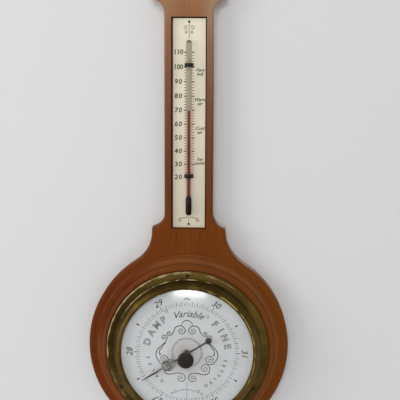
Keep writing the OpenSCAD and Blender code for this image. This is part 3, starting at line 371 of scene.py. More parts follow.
def cloudedMetal(paint, colour, look):
    cloud = paint.noise(paint.place, 60, 3)
    return cloud, paint.mix(cloud * look["dullShare"], colour, shaded(colour, look["dull"]))


def cleanMetal(name, colour, rough, brushed, look=metalLook):
    paint = Paint(name)
    scratch = paint.noise(paint.stretched(brushed), 1.0, 3, 0.6)
    shade = cloudedMetal(paint, colour, look)[1]
    return paint.set(
        Base_Color=shade, Metallic=1.0, Roughness=rough + scratch * look["scratchRough"],
        Normal=paint.bump(scratch, look["scratchDepth"], look["scratchBump"]))


gildedLook = {
    "colour": (156, 150, 136), "root": (24, 20, 16), "rootReach": 11.5, "rootBlend": 2.5, "rootMatt": 0.8,
    "rough": 0.3,
}


def gildedSteel(name, look, metal=metalLook):  # dark where it meets the hub
    paint = Paint(name)
    speck = paint.noise(paint.place, 900, 3, 0.6)
    cloud, shade = cloudedMetal(paint, look["colour"], metal)
    dark = ((look["rootReach"] - paint.radius()) / look["rootBlend"] + cloud).held()
    shade = paint.mix(dark, shade, look["root"])
    return paint.set(
        Base_Color=shade, Metallic=1 - dark * look["rootMatt"],
        Roughness=look["rough"] + speck * metal["scratchRough"],
        Normal=paint.bump(speck, metal["scratchDepth"], metal["scratchBump"]))


tinLook = {
    "bright": (182, 178, 169), "dull": (128, 122, 110), "stainShare": 0.3, "ringShare": 0.4, "rough": 0.34,
    "stainRough": 0.2, "ringRough": 0.1, "ringDepth": 0.06, "ringBump": 0.35,
}


def spunMetal(name, look):  # turning marks go round the dial's axis
    paint = Paint(name)
    rings = paint.noise(paint.node("CombineXYZ", {}, {"X": paint.radius()}), 2.4, 4, 0.7)
    cloud = paint.noise(paint.place, 45, 4, 0.6)
    stain = paint.ramp(cloud, [(0.42, 0.0), (0.7, 1.0)])
    shade = paint.mix(stain * look["stainShare"] + rings * look["ringShare"], look["bright"], look["dull"])
    return paint.set(
        Base_Color=shade, Metallic=1.0, Normal=paint.bump(rings, look["ringDepth"], look["ringBump"]),
        Roughness=look["rough"] + stain * look["stainRough"] + rings * look["ringRough"])


# Enamel and lacquer

firedLook = {"grain": 1600, "depth": 0.01, "bump": 0.25}


def enamelSkin(paint, look=firedLook):  # a fine unevenness of the fired surface
    return paint.bump(paint.noise(paint.place, look["grain"], 2, 0.5), look["depth"], look["bump"])


dialLook = {
    "enamel": (207, 210, 212), "aged": (197, 199, 198), "stain": (172, 160, 146), "stainReach": 22,
    "stainShare": 1.1, "rough": 0.38, "cloudRough": 0.12,
}


def dialFinish(name, look):
    paint = Paint(name)
    cloud = paint.noise(paint.place, 34, 4, 0.6)
    aged = paint.ramp(cloud, [(0.4, 0.0), (0.7, 1.0)])
    shade = paint.mix(aged, look["enamel"], look["aged"])
    nearHub = (1 - paint.radius() / look["stainReach"]).held()
    shade = paint.mix(nearHub * cloud * look["stainShare"], shade, look["stain"])
    return paint.set(
        Base_Color=shade, Roughness=look["rough"] + cloud * look["cloudRough"], Normal=enamelSkin(paint))


plateLook = {
    "enamel": (231, 222, 199), "aged": (212, 201, 170), "foot": (206, 196, 172), "footShare": 0.9,
    "grime": (70, 46, 22), "grimeWidth": 0.7, "grimeShare": 0.5, "rough": 0.4, "cloudRough": 0.12,
}


def plateFinish(name, look):
    paint = Paint(name)
    cloud = paint.noise(paint.stretched((40, 40, 22)), 1.0, 4, 0.6)
    aged = paint.ramp(cloud, [(0.4, 0.0), (0.75, 0.6)])
    shade = paint.mix(aged, look["enamel"], look["aged"])
    x, _, z = paint.axes()
    drop = ((plateHigh.z - z) / (plateHigh.z - plateLow.z)).held()
    shade = paint.mix(drop * drop * look["footShare"], shade, look["foot"])
    edge = (1 - (x - plateLow.x) / (look["grimeWidth"] * mm)).held()  # painted shadow of the slot's wall
    shade = paint.mix(edge * (look["grimeShare"] + cloud), shade, look["grime"])
    return paint.set(
        Base_Color=shade, Roughness=look["rough"] + cloud * look["cloudRough"], Normal=enamelSkin(paint))


lacquerLook = {"light": 1.6, "lightShare": 0.5, "speckRough": 0.12, "speckDepth": 0.02, "speckBump": 0.3}


def speckled(paint, colour, look):
    speck = paint.noise(paint.place, 1200, 3, 0.6)
    return speck, paint.mix(speck * look["lightShare"], colour, shaded(colour, look["light"]))


def lacquer(name, colour, rough, shine=0.5, look=lacquerLook):
    paint = Paint(name)
    speck, shade = speckled(paint, colour, look)
    return paint.set(
        Base_Color=shade, Roughness=rough + speck * look["speckRough"], Specular_IOR_Level=shine,
        Normal=paint.bump(speck, look["speckDepth"], look["speckBump"]))


blackedLook = {
    "colour": (18, 15, 13), "boss": (150, 140, 120), "bossReach": 3.8, "bossDull": 0.6, "bossMetal": 0.5,
    "rough": 0.34, "shine": 0.25,
}


def blackedSteel(name, look, skin=lacquerLook):  # blacked all over but for the boss
    paint = Paint(name)
    speck, shade = speckled(paint, look["colour"], skin)
    bright = paint.radius().below(look["bossReach"])
    shade = paint.mix(bright, shade, paint.mix(speck, look["boss"], shaded(look["boss"], look["bossDull"])))
    return paint.set(
        Base_Color=shade, Metallic=bright * look["bossMetal"], Specular_IOR_Level=look["shine"],
        Roughness=look["rough"] + speck * skin["speckRough"],
        Normal=paint.bump(speck, skin["speckDepth"], skin["speckBump"]))


# Glass and spirit

white = (1, 1, 1, 1)
domeLook = {"index": 1.7, "soft": 0.17}


def clearGlass(name, look):  # only the face towards the eye mirrors
    paint = Paint(name)
    front = 1 - paint.node("NewGeometry", {}, {}, "Backfacing")
    facing = paint.node("Fresnel", {}, {"IOR": look["index"]}) * front
    through = paint.node("BsdfTransparent", {}, {"Color": white})
    mirror = paint.node("BsdfGlossy", {}, {"Color": white, "Roughness": look["soft"]})
    paint.tree.nodes.remove(paint.shader)
    return paint.surface(paint.node("MixShader", {}, {0: facing, 1: through, 2: mirror}))


tubeLook = {
    "clear": (250, 240, 236), "empty": (224, 220, 210), "end": (120, 112, 96), "endLength": 2.6,
    "blush": (250, 240, 236), "wetted": 0.78, "rough": 0.2, "haze": 0.1, "index": 1.46,
}


def tubeGlass(name, look):
    paint = Paint(name)
    haze = paint.noise(paint.place, 300, 3)
    rise = paint.axes()[2]
    # Grey over the spirit and dark at the top end: painted shade of the empty bore and the rounded end, where
    # the glass bends the light
    empty = rise.above(spiritHigh.z)
    end = 1 - ((tubeHigh.z - rise) / (look["endLength"] * mm)).held()
    tint = paint.mix(empty, look["clear"], look["empty"])
    tint = paint.mix(end, tint, look["end"])
    paint.set(
        Base_Color=tint, Roughness=look["rough"] + haze * look["haze"], IOR=look["index"],
        Transmission_Weight=1.0)
    through = paint.node("BsdfTransparent", {}, {"Color": tone(look["blush"])})
    share = look["wetted"] - empty * look["wetted"]  # over the spirit the glass hardly shows
    return paint.surface(paint.node("MixShader", {}, {0: share, 1: paint.principled(), 2: through}))


spiritLook = {
    "column": (112, 34, 30), "deep": 0.7, "deepShare": 0.5, "top": (124, 76, 66), "topFocus": 2.5,
    "bulb": (24, 9, 5), "bulbTop": 13.5, "soften": 3.0, "rough": 0.3, "shine": 0.15,
}


def redSpirit(name, look):
    paint = Paint(name)
    rise = (paint.axes()[2] - spiritLow.z) / mm
    drift = paint.noise(paint.stretched((60, 60, 25)), 1.0, 2)
    red = paint.mix(drift * look["deepShare"], look["column"], shaded(look["column"], look["deep"]))
    upper = (rise / ((spiritHigh.z - spiritLow.z) / mm)).focused(look["topFocus"])
    red = paint.mix(upper, red, look["top"])
    shade = paint.mix(rise.rising(look["bulbTop"], look["soften"]), look["bulb"], red)
    return paint.set(Base_Color=shade, Roughness=look["rough"], Specular_IOR_Level=look["shine"])


# Which finish each node has

caseWood = polishedWood("polishedMahogany", mahogany)
ringWood = polishedWood("turnedMahogany", mahogany)
bezelBrass = agedBrass("tarnishedBrass", oldBrass)
handBrass = gildedSteel("handBrass", gildedLook)
pointerBlack = blackedSteel("pointerBlack", blackedLook)
wornNickel = cleanMetal("wornNickel", (176, 168, 150), rough=0.4, brushed=(600, 600, 600))
yellowBrass = cleanMetal("yellowBrass", (186, 152, 88), rough=0.28, brushed=(300, 300, 2000))
tinplate = spunMetal("tinplate", tinLook)
plainSteel = cleanMetal("plainSteel", (152, 150, 146), rough=0.32, brushed=(300, 300, 2000))
dialEnamel = dialFinish("dialEnamel", dialLook)
scaleEnamel = plateFinish("scaleEnamel", plateLook)
printInk = lacquer("printInk", (22, 20, 20), rough=0.5)
paleInk = lacquer("paleInk", (138, 137, 135), rough=0.5)
beadInk = lacquer("beadInk", (104, 102, 99), rough=0.5)
blackLacquer = lacquer("blackLacquer", (18, 15, 13), rough=0.34, shine=0.25)
darkPins = lacquer("darkPins", (40, 27, 12), rough=0.5, shine=0.2)
knobPlastic = lacquer("knobPlastic", (24, 17, 11), rough=0.32, shine=0.3)
domeGlass = clearGlass("domeGlass", domeLook)
stemGlass = tubeGlass("stemGlass", tubeLook)
spirit = redSpirit("redSpirit", spiritLook)

finishes = {
    "case": caseWood, "surround": ringWood, "hanger_plate": yellowBrass, "hanger_screws": plainSteel,
    "thermometer_plate": scaleEnamel, "thermometer_tube": stemGlass, "thermometer_spirit": spirit,
    "tube_clips": blackLacquer, "plate_pins": blackLacquer, "movement_drum": tinplate, "bezel": bezelBrass,
    "bezel_pins": darkPins, "glass": domeGlass, "glass_ring": yellowBrass, "dial": dialEnamel,
    "pointer": pointerBlack, "pointer_collet": wornNickel, "hand_arbor": plainSteel, "set_hand": handBrass,
    "set_hand_arbor": yellowBrass, "set_hand_bush": wornNickel, "bush_nut": wornNickel,
    "set_hand_knob": knobPlastic, "base_plate": yellowBrass, "base_screws": plainSteel,
    "capsule_base": yellowBrass, "capsule_top": yellowBrass, "capsule_nut": plainSteel,
    "spring_bridge": plainSteel, "bridge_screws": plainSteel, "main_spring": plainSteel,
    "main_lever": yellowBrass, "lever_link": yellowBrass, "rocker_shaft": plainSteel,
    "rocker_bracket": yellowBrass, "chain": plainSteel, "hairspring": plainSteel, "arbor_cock": yellowBrass,
    "top_plate": yellowBrass, "pillars": yellowBrass, "movement_screws": plainSteel,
    "adjusting_screw": yellowBrass,
}
for name, finish in finishes.items():
    nodes[name].data.materials.clear()
    nodes[name].data.materials.append(finish)
print("materials on", len(finishes), "nodes")


# Smooth copies of the nodes that show their curves

mergeGap = 0.002 * mm


def pick(*things):
    bpy.ops.object.select_all(action="DESELECT")
    for thing in things:
        thing.select_set(True)
    bpy.context.view_layer.objects.active = things[-1]


def softCopy(node, name, angle):  # a merged copy of a node, with its curves shaded smooth
    piece = nodes[node].copy()
    piece.data = nodes[node].data.copy()
    piece.name = name
    piece.parent = None
    del piece["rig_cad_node"]
    bpy.context.scene.collection.objects.link(piece)
    pick(piece)
    bpy.ops.object.mode_set(mode="EDIT")
    bpy.ops.mesh.select_all(action="SELECT")
    bpy.ops.mesh.remove_doubles(threshold=mergeGap)
    bpy.ops.mesh.customdata_custom_splitnormals_clear()
    bpy.ops.object.mode_set(mode="OBJECT")
    bpy.ops.object.shade_smooth_by_angle(angle=math.radians(angle))
    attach(piece, nodes[node]["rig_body"])
    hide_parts(node)
    return piece


smoothPieces = {  # the copy's name, and the sharpest bend in degrees that is shaded smooth
    "case": ("caseBoard", 40), "surround": ("turnedRing", 40), "bezel": ("spunBezel", 35),
    "glass": ("domedGlass", 40), "set_hand_knob": ("setKnob", 35), "bezel_pins": ("bezelPins", 40),
    "plate_pins": ("platePins", 40), "pointer": ("dialPointer", 35),
}
for node, (name, angle) in smoothPieces.items():
    softCopy(node, name, angle)


def choose(piece, wanted):  # goes into edit mode with the wanted corners selected
    pick(piece)
    bpy.ops.object.mode_set(mode="EDIT")
    bpy.ops.mesh.select_mode(type="VERT")
    bpy.ops.mesh.select_all(action="DESELECT")
    bpy.ops.object.mode_set(mode="OBJECT")
    for corner in piece.data.vertices:
        corner.select = wanted(corner.co)
    bpy.ops.object.mode_set(mode="EDIT")


rodLook = {"angle": 40, "boreHalf": 1.2, "boreFrom": 3, "boreTo": 6}  # a stretch of bore below the tube's top


def solidTube(look):  # the glass as one clear rod, so that it shows the spirit magnified as wetted glass does
    tube = softCopy("thermometer_tube", "glassTube", look["angle"])
    axis = (tubeLow + tubeHigh) / 2

    def inBore(spot):
        drop = (tubeHigh.z - spot.z) / mm
        return (spot - axis).xy.length < look["boreHalf"] * mm and look["boreFrom"] < drop < look["boreTo"]

    choose(tube, inBore)
    bpy.ops.mesh.select_linked()
    bpy.ops.mesh.delete(type="VERT")
    bpy.ops.object.mode_set(mode="OBJECT")


wetLook = {"angle": 40, "bulbSwell": 1.27, "threadSwell": 1.55, "neck": 14}


def wettedSpirit(look):  # wider than the bore, as the glass magnifies it
    column = softCopy("thermometer_spirit", "spiritColumn", look["angle"])
    neck = spiritLow.z + look["neck"] * mm

    def inBulb(spot):
        return spot.z < neck

    def inThread(spot):
        return spot.z >= neck

    for swell, wanted in ((look["bulbSwell"], inBulb), (look["threadSwell"], inThread)):
        choose(column, wanted)
        bpy.ops.transform.resize(value=(swell, swell, 1), center_override=(spiritLow + spiritHigh) / 2)
        bpy.ops.object.mode_set(mode="OBJECT")


solidTube(rodLook)
wettedSpirit(wetLook)
print("smooth copies made")


# Printing, drawn in millimetres about the dial's axis with x right and y up

ink = {
    "depth": 0.03, "sizeOverCapital": 1.4, "letterSteps": 3, "outlineOffset": 0.02, "outlineDepth": 1.6,
    "spiralSteps": 18, "spiralEye": 0.12, "curveSteps": 8,
}


def layOn(piece, name, front, finish):
    piece.name = name
    upright = Matrix.Rotation(math.pi / 2, 4, "X") @ Matrix.Scale(mm, 4)
    piece.matrix_world = Matrix.Translation((dialAxis.x, front, dialAxis.z)) @ upright
    pick(piece)
    bpy.ops.object.transform_apply(location=True, rotation=True, scale=True)
    piece.data.materials.clear()
    piece.data.materials.append(finish)
    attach(piece, caseBody)


def joined(pieces):
    pick(*pieces)
    bpy.ops.object.join()
    whole = bpy.context.object
    bpy.ops.object.transform_apply(location=True, rotation=True, scale=True)
    return whole


def inkBar(width, length, taper=1.0):  # a printed stroke along y, narrower at its lower end
    bpy.ops.object.select_all(action="DESELECT")
    bpy.ops.mesh.primitive_cube_add(size=1, scale=(width, length, ink["depth"]))
    bar = bpy.context.object
    bpy.ops.object.transform_apply(scale=True)
    choose(bar, lambda spot: spot.y < 0)
    bpy.ops.transform.resize(value=(taper, 1, 1))
    bpy.ops.object.mode_set(mode="OBJECT")
    return bar


def twin(source, x, y, turn=0.0):
    copy = source.copy()
    copy.data = source.data.copy()
    bpy.context.scene.collection.objects.link(copy)
    copy.matrix_world = Matrix.Translation((x, y, 0)) @ Matrix.Rotation(turn, 4, "Z")
    return copy


def around(radius, degrees):  # a place on a circle and its turn, with degrees clockwise from the top
    turn = math.radians(degrees)
    return radius * math.sin(turn), radius * math.cos(turn), -turn


def centredText(text, height, x, y, turn):
    bpy.ops.object.select_all(action="DESELECT")
    bpy.ops.object.text_add(location=(x, y, 0), rotation=(0, 0, turn))
    line = bpy.context.object
    line.data.body = text
    line.data.size = height * ink["sizeOverCapital"]
    line.data.align_x = "CENTER"
    line.data.align_y = "CENTER"
    line.data.resolution_u = ink["letterSteps"]
    return line


def lettering(text, height, x, y, turn=0.0, slant=0.0, weight=0.0, spread=1.0):
    line = centredText(text, height, x, y, turn)
    line.data.shear = slant
    line.data.offset = weight
    line.data.space_character = spread
    line.data.extrude = ink["depth"] / 2
    bpy.ops.object.convert(target="MESH")
    return bpy.context.object


def letterOutline(letter, height, x, y, turn, width):
    line = centredText(letter, height, x, y, turn)
    line.data.fill_mode = "NONE"
    line.data.offset = ink["outlineOffset"] * height
    line.data.bevel_depth = width / 2
    line.data.bevel_resolution = 0
    bpy.ops.object.convert(target="MESH")
    line = bpy.context.object
    line.scale.z = ink["outlineDepth"] * ink["depth"] / width
    return line


def inkLine(points, width, swell=0.0):  # a pen line, thinner at its ends by the swell's share
    bpy.ops.object.select_all(action="DESELECT")
    bpy.ops.curve.primitive_nurbs_path_add()
    line = bpy.context.object
    line.data.splines.clear()
    spline = line.data.splines.new("POLY")
    spline.points.add(len(points) - 1)
    for count, (point, (x, y)) in enumerate(zip(spline.points, points)):
        point.co = (x, y, 0, 1)
        point.radius = 1 - swell * (1 - math.sin(math.pi * count / max(1, len(points) - 1)))
    line.data.bevel_depth = width / 2
    line.data.bevel_resolution = 0
    line.data.use_fill_caps = True
    bpy.ops.object.convert(target="MESH")
    line = bpy.context.object
    line.scale.z = ink["depth"] / width
    bpy.ops.object.transform_apply(scale=True)
    return line


def ring(x, y, radius, width, sides=10):
    turns = [2 * math.pi * step / sides for step in range(sides + 1)]
    return inkLine([(x + radius * math.cos(turn), y + radius * math.sin(turn)) for turn in turns], width)


def spiral(centre, radius, turns, leave, way):  # from the middle out, leaving at an angle
    steps = int(ink["spiralSteps"] * turns) + 1
    points = []
    for step in range(steps + 1):
        share = step / steps
        turn = math.radians(leave) - way * 2 * math.pi * turns * (1 - share)
        reach = radius * (ink["spiralEye"] + (1 - ink["spiralEye"]) * share)
        points.append((centre[0] + reach * math.cos(turn), centre[1] + reach * math.sin(turn)))
    return points


def flowing(spots):  # an easy curve through the spots between the first and the last
    curve = []
    for before, start, end, after in zip(spots, spots[1:], spots[2:], spots[3:]):
        leave, arrive = (end - before) / 2, (after - start) / 2
        for step in range(1, ink["curveSteps"]):
            share = step / ink["curveSteps"]
            square, cube = share ** 2, share ** 3
            spot = start * (2 * cube - 3 * square + 1) + end * (3 * square - 2 * cube)
            curve.append(spot + leave * (cube - 2 * square + share) + arrive * (cube - square))
        curve.append(end)
    return [(spot.x, spot.y) for spot in curve]


def scroll(first, between, last):  # two spirals joined by one easy curve
    out = spiral(*first)
    back = spiral(*last)[::-1]
    spots = [out[-2], out[-1], *between, back[0], back[1]]
    return out + flowing([Vector(spot) for spot in spots]) + back[1:]


def mirrored(points):
    return [(-x, y) for x, y in points]


# The dial's scale, in inches of mercury

scaleLook = {
    "firstInch": 27, "lastInch": 32, "topInch": 29.5, "inchTurn": 60, "step": 3, "inner": 37.6,
    "short": 2.5, "shortWidth": 0.3, "tenth": 3.6, "tenthWidth": 0.36, "inch": 4.4, "inchWidth": 0.5,
    "diamond": 44.0, "diamondSize": (1.7, 2.9, 0.12),
    "numbers": 45.0, "numberHeight": 4.9, "numberSlant": 0.25, "numberWeight": 0.07,
}


def dialScale(look):
    bars = {kind: inkBar(look[kind + "Width"], look[kind]) for kind in ("short", "tenth", "inch")}
    diamond = inkBar(*look["diamondSize"])
    inchTurn = look["inchTurn"]
    firstTurn = (look["firstInch"] - look["topInch"]) * inchTurn
    marks = []
    for degrees in range(-180, 180, look["step"]):
        fromInch = (degrees - firstTurn) % inchTurn
        kind = "inch" if fromInch == 0 else "short" if fromInch % 2 else "tenth"
        marks.append(twin(bars[kind], *around(look["inner"] + look[kind] / 2, degrees)))
        if fromInch == inchTurn // 2 and degrees % 180:
            marks.append(twin(diamond, *around(look["diamond"], degrees)))
    whole = joined(marks)
    for bar in [*bars.values(), diamond]:
        bpy.data.objects.remove(bar)
    layOn(whole, "dialTicks", dialFront, printInk)
    numbers = []
    for inch in range(look["firstInch"], look["lastInch"] + 1):
        x, y, turn = around(look["numbers"], (inch - look["topInch"]) * inchTurn)
        numbers.append(lettering(
            str(inch), look["numberHeight"], x, y, turn,
            slant=look["numberSlant"], weight=look["numberWeight"]))
    layOn(joined(numbers), "dialNumbers", dialFront, printInk)


dialScale(scaleLook)

# The dial's words, with degrees clockwise from the top
wordLook = {
    "bigLetters": [
        ("D", -75), ("A", -60.5), ("M", -47), ("P", -35), ("F", 43), ("I", 55), ("N", 67), ("E", 80)],
    "big": 5.2, "bigReach": 32.0, "outline": 0.44, "shadeWeight": 0.1,
    "smallWords": [("GALES", -119, 10.5), ("SETTLED", 126, 8.2)],
    "small": 2.7, "smallReach": 30.6, "smallWeight": 0.04,
    "archedWord": "Variable", "arched": 5.4, "archedReach": 31.4, "archedShift": 0.6, "archedSlant": 0.45,
    "archedWeight": 0.03,
    "curls": [((-15.6, 33.4), 1.7, 1.2, 320, 1), ((15.9, 29.2), 1.6, 1.2, 150, 1)],
    "curlWidth": 0.36, "curlSwell": 0.5,
}


def archedWord(look):  # a word bent round the dial, upright at the top
    line = lettering(
        look["archedWord"], look["arched"], 0, 0, slant=look["archedSlant"], weight=look["archedWeight"])
    bend = line.modifiers.new("arch", "SIMPLE_DEFORM")
    bend.deform_method = "BEND"
    bend.deform_axis = "Z"
    bend.angle = -line.dimensions.x / look["archedReach"]
    bpy.ops.object.modifier_apply(modifier=bend.name)
    line.location = (look["archedShift"], look["archedReach"], 0)
    return line


def dialWords(look):
    dark, grey = [], []
    for letter, degrees in look["bigLetters"]:
        x, y, turn = around(look["bigReach"], degrees)
        dark.append(letterOutline(letter, look["big"], x, y, turn, look["outline"]))
        grey.append(lettering(letter, look["big"], x, y, turn, weight=look["shadeWeight"]))
    for word, middle, gap in look["smallWords"]:
        for count, letter in enumerate(word):
            x, y, turn = around(look["smallReach"], middle + (count - (len(word) - 1) / 2) * gap)
            dark.append(lettering(letter, look["small"], x, y, turn, weight=look["smallWeight"]))
    dark.append(archedWord(look))
    for curl in look["curls"]:
        dark.append(inkLine(spiral(*curl), look["curlWidth"], look["curlSwell"]))
    layOn(joined(dark), "dialWords", dialFront, printInk)
    layOn(joined(grey), "dialWordShade", dialFront, paleInk)


dialWords(wordLook)

# The dial's scrolls. A spiral is its middle, radius, turns, where the curve leaves it and which way it winds
scrollLook = {
    "right": [
        (((4.4, 17.8), 3.2, 1.5, 150, -1), [(4.6, 21.8), (8.8, 20.6), (10.6, 16.6)],
         ((14.0, 15.6), 2.2, 1.4, 215, -1)),
        (((17.8, 12.0), 2.4, 1.5, 180, 1), [(17.0, 8.4), (20.4, 5.2), (23.6, 1.2), (24.2, -3.2)],
         ((18.2, -5.6), 4.2, 1.8, -40, 1)),
        (((14.2, -12.9), 3.9, 1.6, 0, -1), [(16.8, -16.8), (13.0, -17.8), (8.4, -16.8)],
         ((4.7, -20.8), 4.0, 1.6, 80, -1)),
        (((21.0, -1.6), 0.7, 0.9, 30, 1), [(21.4, 1.4), (19.4, 4.2)],
         ((17.2, 7.4), 0.4, 0.5, 60, -1)),
    ],
    "width": 0.72, "swell": 0.6, "dot": 0.55, "crestRadius": 4.4, "crestRise": 21.8, "crestSteps": 8,
    "footLine": [(0, -24.5), (0, -50.5)], "footWidth": 0.3,
    "footCurls": [((8.9, -31.8), 1.6, 1.3, 110, 1), ((11.6, -33.4), 1.2, 1.2, 60, 1)],
    "curlWidth": 0.36, "curlSwell": 0.4,
    "bowDots": 6, "bowGap": 1.15, "bowRise": -30.4, "bowSag": 0.03, "bowDot": (0.22, 0.4, 6),
    "sprigSpread": 70, "sprigStep": 28, "sprigRise": 42.2, "sprigReaches": (0.9, 2.0, 3.1),
    "sprigWidth": 0.65, "sprigSwell": 0.5,
    "beads": 36, "beadReach": 11.6, "bead": (0.66, 0.4, 8),
}


def dialScrolls(look):
    lines = []
    for first, between, last in look["right"]:
        points = scroll(first, between, last)
        for side in (points, mirrored(points)):
            lines.append(inkLine(side, look["width"], look["swell"]))
            for x, y in (side[0], side[-1]):
                lines.append(ring(x, y, look["dot"] / 2, look["dot"]))
    crest = []
    for step in range(look["crestSteps"] + 1):
        turn = step / look["crestSteps"] * math.pi
        rise = look["crestRise"] + look["crestRadius"] * math.sin(turn)
        crest.append((look["crestRadius"] * math.cos(turn), rise))
    lines.append(inkLine(crest, look["width"], look["swell"]))
    lines.append(inkLine(look["footLine"], look["footWidth"]))
    for curl in look["footCurls"]:
        points = spiral(*curl)
        for side in (points, mirrored(points)):
            lines.append(inkLine(side, look["curlWidth"], look["curlSwell"]))
    for count in range(-look["bowDots"], look["bowDots"] + 1):  # a dotted bow between the curls
        rise = look["bowRise"] - look["bowSag"] * count ** 2
        lines.append(ring(count * look["bowGap"], rise, *look["bowDot"]))
    for degrees in range(-look["sprigSpread"], look["sprigSpread"] + 1, look["sprigStep"]):
        x, y = around(1, degrees)[:2]  # a sprig over the scale's top
        leaf = [(reach * x, look["sprigRise"] + reach * y) for reach in look["sprigReaches"]]
        lines.append(inkLine(leaf, look["sprigWidth"], look["sprigSwell"]))
    layOn(joined(lines), "dialScrolls", dialFront, printInk)
    beads = []
    for count in range(look["beads"]):
        x, y = around(look["beadReach"], count * 360 / look["beads"])[:2]
        beads.append(ring(x, y, *look["bead"]))
    layOn(joined(beads), "dialBeads", dialFront, beadInk)


dialScrolls(scrollLook)
print("dial printed")


# The thermometer's scale, in degrees

degreeLook = {
    "first": 20, "last": 110, "step": 2, "firstRise": 136.31, "tenRise": 10.1, "tenGrowth": 0.07,
    "leftIn": -2.1, "rightIn": 2.3, "short": 1.6, "shortWidth": 0.44, "ten": 1.9, "tenWidth": 0.9,
    "numbersX": -8.4, "numberHeight": 3.7, "numberSlant": 0.1, "numberWeight": 0.11, "spread": 1.2,
    "closeSpread": 0.95,
    "words": [(98, "Very", "hot"), (77.5, "Warm", "air"), (57, "Cool", "air"), (34, "Ice", "point")],
    "wordsX": 8.3, "wordHeight": 2.5, "wordDrop": 3.1, "wordSlant": 0.4, "wordWeight": 0.08,
}


def degreeRise(look, degrees):  # height of a degree mark above the dial's axis
    tens = (degrees - look["first"]) / 10
    return look["firstRise"] + tens * (look["tenRise"] + look["tenGrowth"] * tens)


def stemScale(look):
    marks = []
    bars = {kind: inkBar(look[kind + "Width"], look[kind]) for kind in ("short", "ten")}
    for degrees in range(look["first"], look["last"] + 1, look["step"]):
        kind = "short" if degrees % 10 else "ten"
        for x in (look["leftIn"] - look[kind] / 2, look["rightIn"] + look[kind] / 2):
            marks.append(twin(bars[kind], x, degreeRise(look, degrees), math.pi / 2))
    whole = joined(marks)
    for bar in bars.values():
        bpy.data.objects.remove(bar)
    layOn(whole, "stemTicks", plateFront, printInk)
    numbers = []
    for degrees in range(look["first"], look["last"] + 1, 10):
        spread = look["closeSpread"] if degrees > 99 else look["spread"]  # three figures stand closer
        numbers.append(lettering(
            str(degrees), look["numberHeight"], look["numbersX"], degreeRise(look, degrees),
            slant=look["numberSlant"], weight=look["numberWeight"], spread=spread))
    layOn(joined(numbers), "stemNumbers", plateFront, printInk)
    words = []
    for degrees, upper, lower in look["words"]:
        rise = degreeRise(look, degrees)
        for word, y in ((upper, rise), (lower, rise - look["wordDrop"])):
            words.append(lettering(
                word, look["wordHeight"], look["wordsX"], y,
                slant=look["wordSlant"], weight=look["wordWeight"]))
    layOn(joined(words), "stemWords", plateFront, printInk)


stemScale(degreeLook)

sprayLook = {  # rises are counted from the plate's upper or lower pin
    "lines": [("top", -2, -13, 0.42), ("foot", 1.5, 6, 0.32)],
    "curls": [  # pin, x, rise, radius, turns, where the curve leaves it, which way it winds
        ("top", 2.6, -5.4, 1.8, 1.4, 60, 1), ("top", 2.0, -8.8, 1.3, 1.3, 60, 1),
        ("foot", 7.2, 4.0, 1.5, 1.4, -30, -1),
    ],
    "curlWidth": 0.42, "curlSwell": 0.3,
    "dots": 4, "dotGap": 1.45, "dotRise": 6.2, "dotSag": 0.04, "dot": (0.26, 0.5, 6),
}


def stemScrolls(look):
    pins = {"top": riseOf(pinHigh), "foot": riseOf(pinLow)}
    lines = []
    for pin, start, end, width in look["lines"]:
        lines.append(inkLine([(0, pins[pin] + start), (0, pins[pin] + end)], width))
    for side in (-1, 1):
        for pin, x, rise, radius, turns, leave, way in look["curls"]:
            points = spiral((side * x, pins[pin] + rise), radius, turns, 90 + side * leave, side * way)
            lines.append(inkLine(points, look["curlWidth"], look["curlSwell"]))
        for count in range(1, look["dots"] + 1):
            rise = pins["foot"] + look["dotRise"] - look["dotSag"] * count ** 2
            lines.append(ring(side * look["dotGap"] * count, rise, *look["dot"]))
    layOn(joined(lines), "stemScrolls", plateFront, printInk)


stemScrolls(sprayLook)
print("thermometer printed")


# Stage, lights and camera, in metres

wallLook = {
    "colour": (219, 219, 219), "rough": 0.9, "behind": 0.001, "size": 6.0, "floor": -0.62, "gap": 0.03,
}


def plane(name, size, place, turn=(0, 0, 0)):
    bpy.ops.object.select_all(action="DESELECT")
    bpy.ops.mesh.primitive_plane_add(size=size, location=place, rotation=turn)
    bpy.context.object.name = name
    return bpy.context.object


def backdrop(look):
    wall = plane("wall", look["size"], (0, look["behind"], 0), (math.pi / 2, 0, 0))
    floor = plane("floor", look["size"], (0, 0, look["floor"]))
    paint = Paint("paleWall")
    paint.set(Base_Color=tone(look["colour"]), Roughness=look["rough"])
    seen = paint.node("LightPath", {}, {}, "Is Camera Ray")
    path = seen.socket.node.outputs
    reflected = Signal(paint, path["Is Glossy Ray"]).most(Signal(paint, path["Is Transmission Ray"]))
    # mirrored only from further off than the gap, so that the case's back doesn't mirror it
    seen = seen.most(reflected * Signal(paint, path["Ray Length"]).above(look["gap"]))
    seen = seen * (1 - paint.node("NewGeometry", {}, {}, "Backfacing"))  # views from the back pass through
    through = paint.node("BsdfTransparent", {}, {})
    paint.surface(paint.node("MixShader", {}, {0: seen, 1: through, 2: paint.principled()}))
    wall.data.materials.append(paint.material)
    plain = Paint("paleFloor")
    floor.data.materials.append(plain.set(Base_Color=tone(look["colour"]), Roughness=look["rough"]))


backdrop(wallLook)

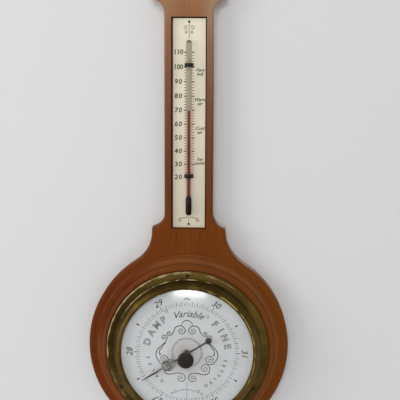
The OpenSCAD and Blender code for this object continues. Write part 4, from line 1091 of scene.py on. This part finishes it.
studioLook = {  # places and the aim are counted from the dial's axis in height
    "aim": (0, 0, 0.12),
    "lamps": [  # name, place, width, height, power
        ("windowLight", (-0.05, -2.0, 0.98), 0.85, 0.3, 12),
        ("leftLight", (-1.5, -0.9, 0.5), 0.8, 0.9, 10.5),
        ("backLight", (0.3, 2.0, 0.7), 1.2, 0.8, 9),
    ],
    "sky": (0.99, 0.99, 1.0, 1), "skyStrength": 0.55,
}


def studio(look):
    level = Vector((0, 0, dialAxis.z))
    aim = Vector(look["aim"]) + level
    for name, spot, width, height, power in look["lamps"]:
        place = Vector(spot) + level
        bpy.ops.object.select_all(action="DESELECT")
        bpy.ops.object.light_add(type="AREA", location=place)
        light = bpy.context.object
        light.name = name
        light.data.shape = "RECTANGLE"
        light.data.size = width
        light.data.size_y = height
        light.data.energy = power
        light.rotation_euler = (aim - place).to_track_quat("-Z", "Y").to_euler()
    world = bpy.data.worlds.new("studio")
    bpy.context.scene.world = world
    world.use_nodes = True
    sky = world.node_tree.nodes["Background"]
    sky.inputs["Color"].default_value = look["sky"]
    sky.inputs["Strength"].default_value = look["skyStrength"]


studio(studioLook)

cameraLook = {  # place in millimetres from the dial's axis, turns in radians
    "place": (33.192, -633.576, 210.659), "pitch": 0.147, "yaw": 0.039, "roll": 0.005,
    "lens": 72, "sensor": 36, "nearest": 0.01,
}


def photoCamera(look):
    bpy.ops.object.select_all(action="DESELECT")
    bpy.ops.object.camera_add()
    camera = bpy.context.object
    camera.data.lens = look["lens"]
    camera.data.sensor_width = look["sensor"]
    camera.data.clip_start = look["nearest"]
    place = Vector(look["place"]) * mm + Vector((0, 0, dialAxis.z))
    turn = (
        Matrix.Rotation(look["yaw"], 4, "Z") @ Matrix.Rotation(math.pi / 2 - look["pitch"], 4, "X")
        @ Matrix.Rotation(look["roll"], 4, "Z"))
    camera.matrix_world = Matrix.Translation(place) @ turn
    bpy.context.scene.camera = camera


photoCamera(cameraLook)
bpy.context.scene.view_settings.view_transform = "Standard"
print("stage, lights and camera set")
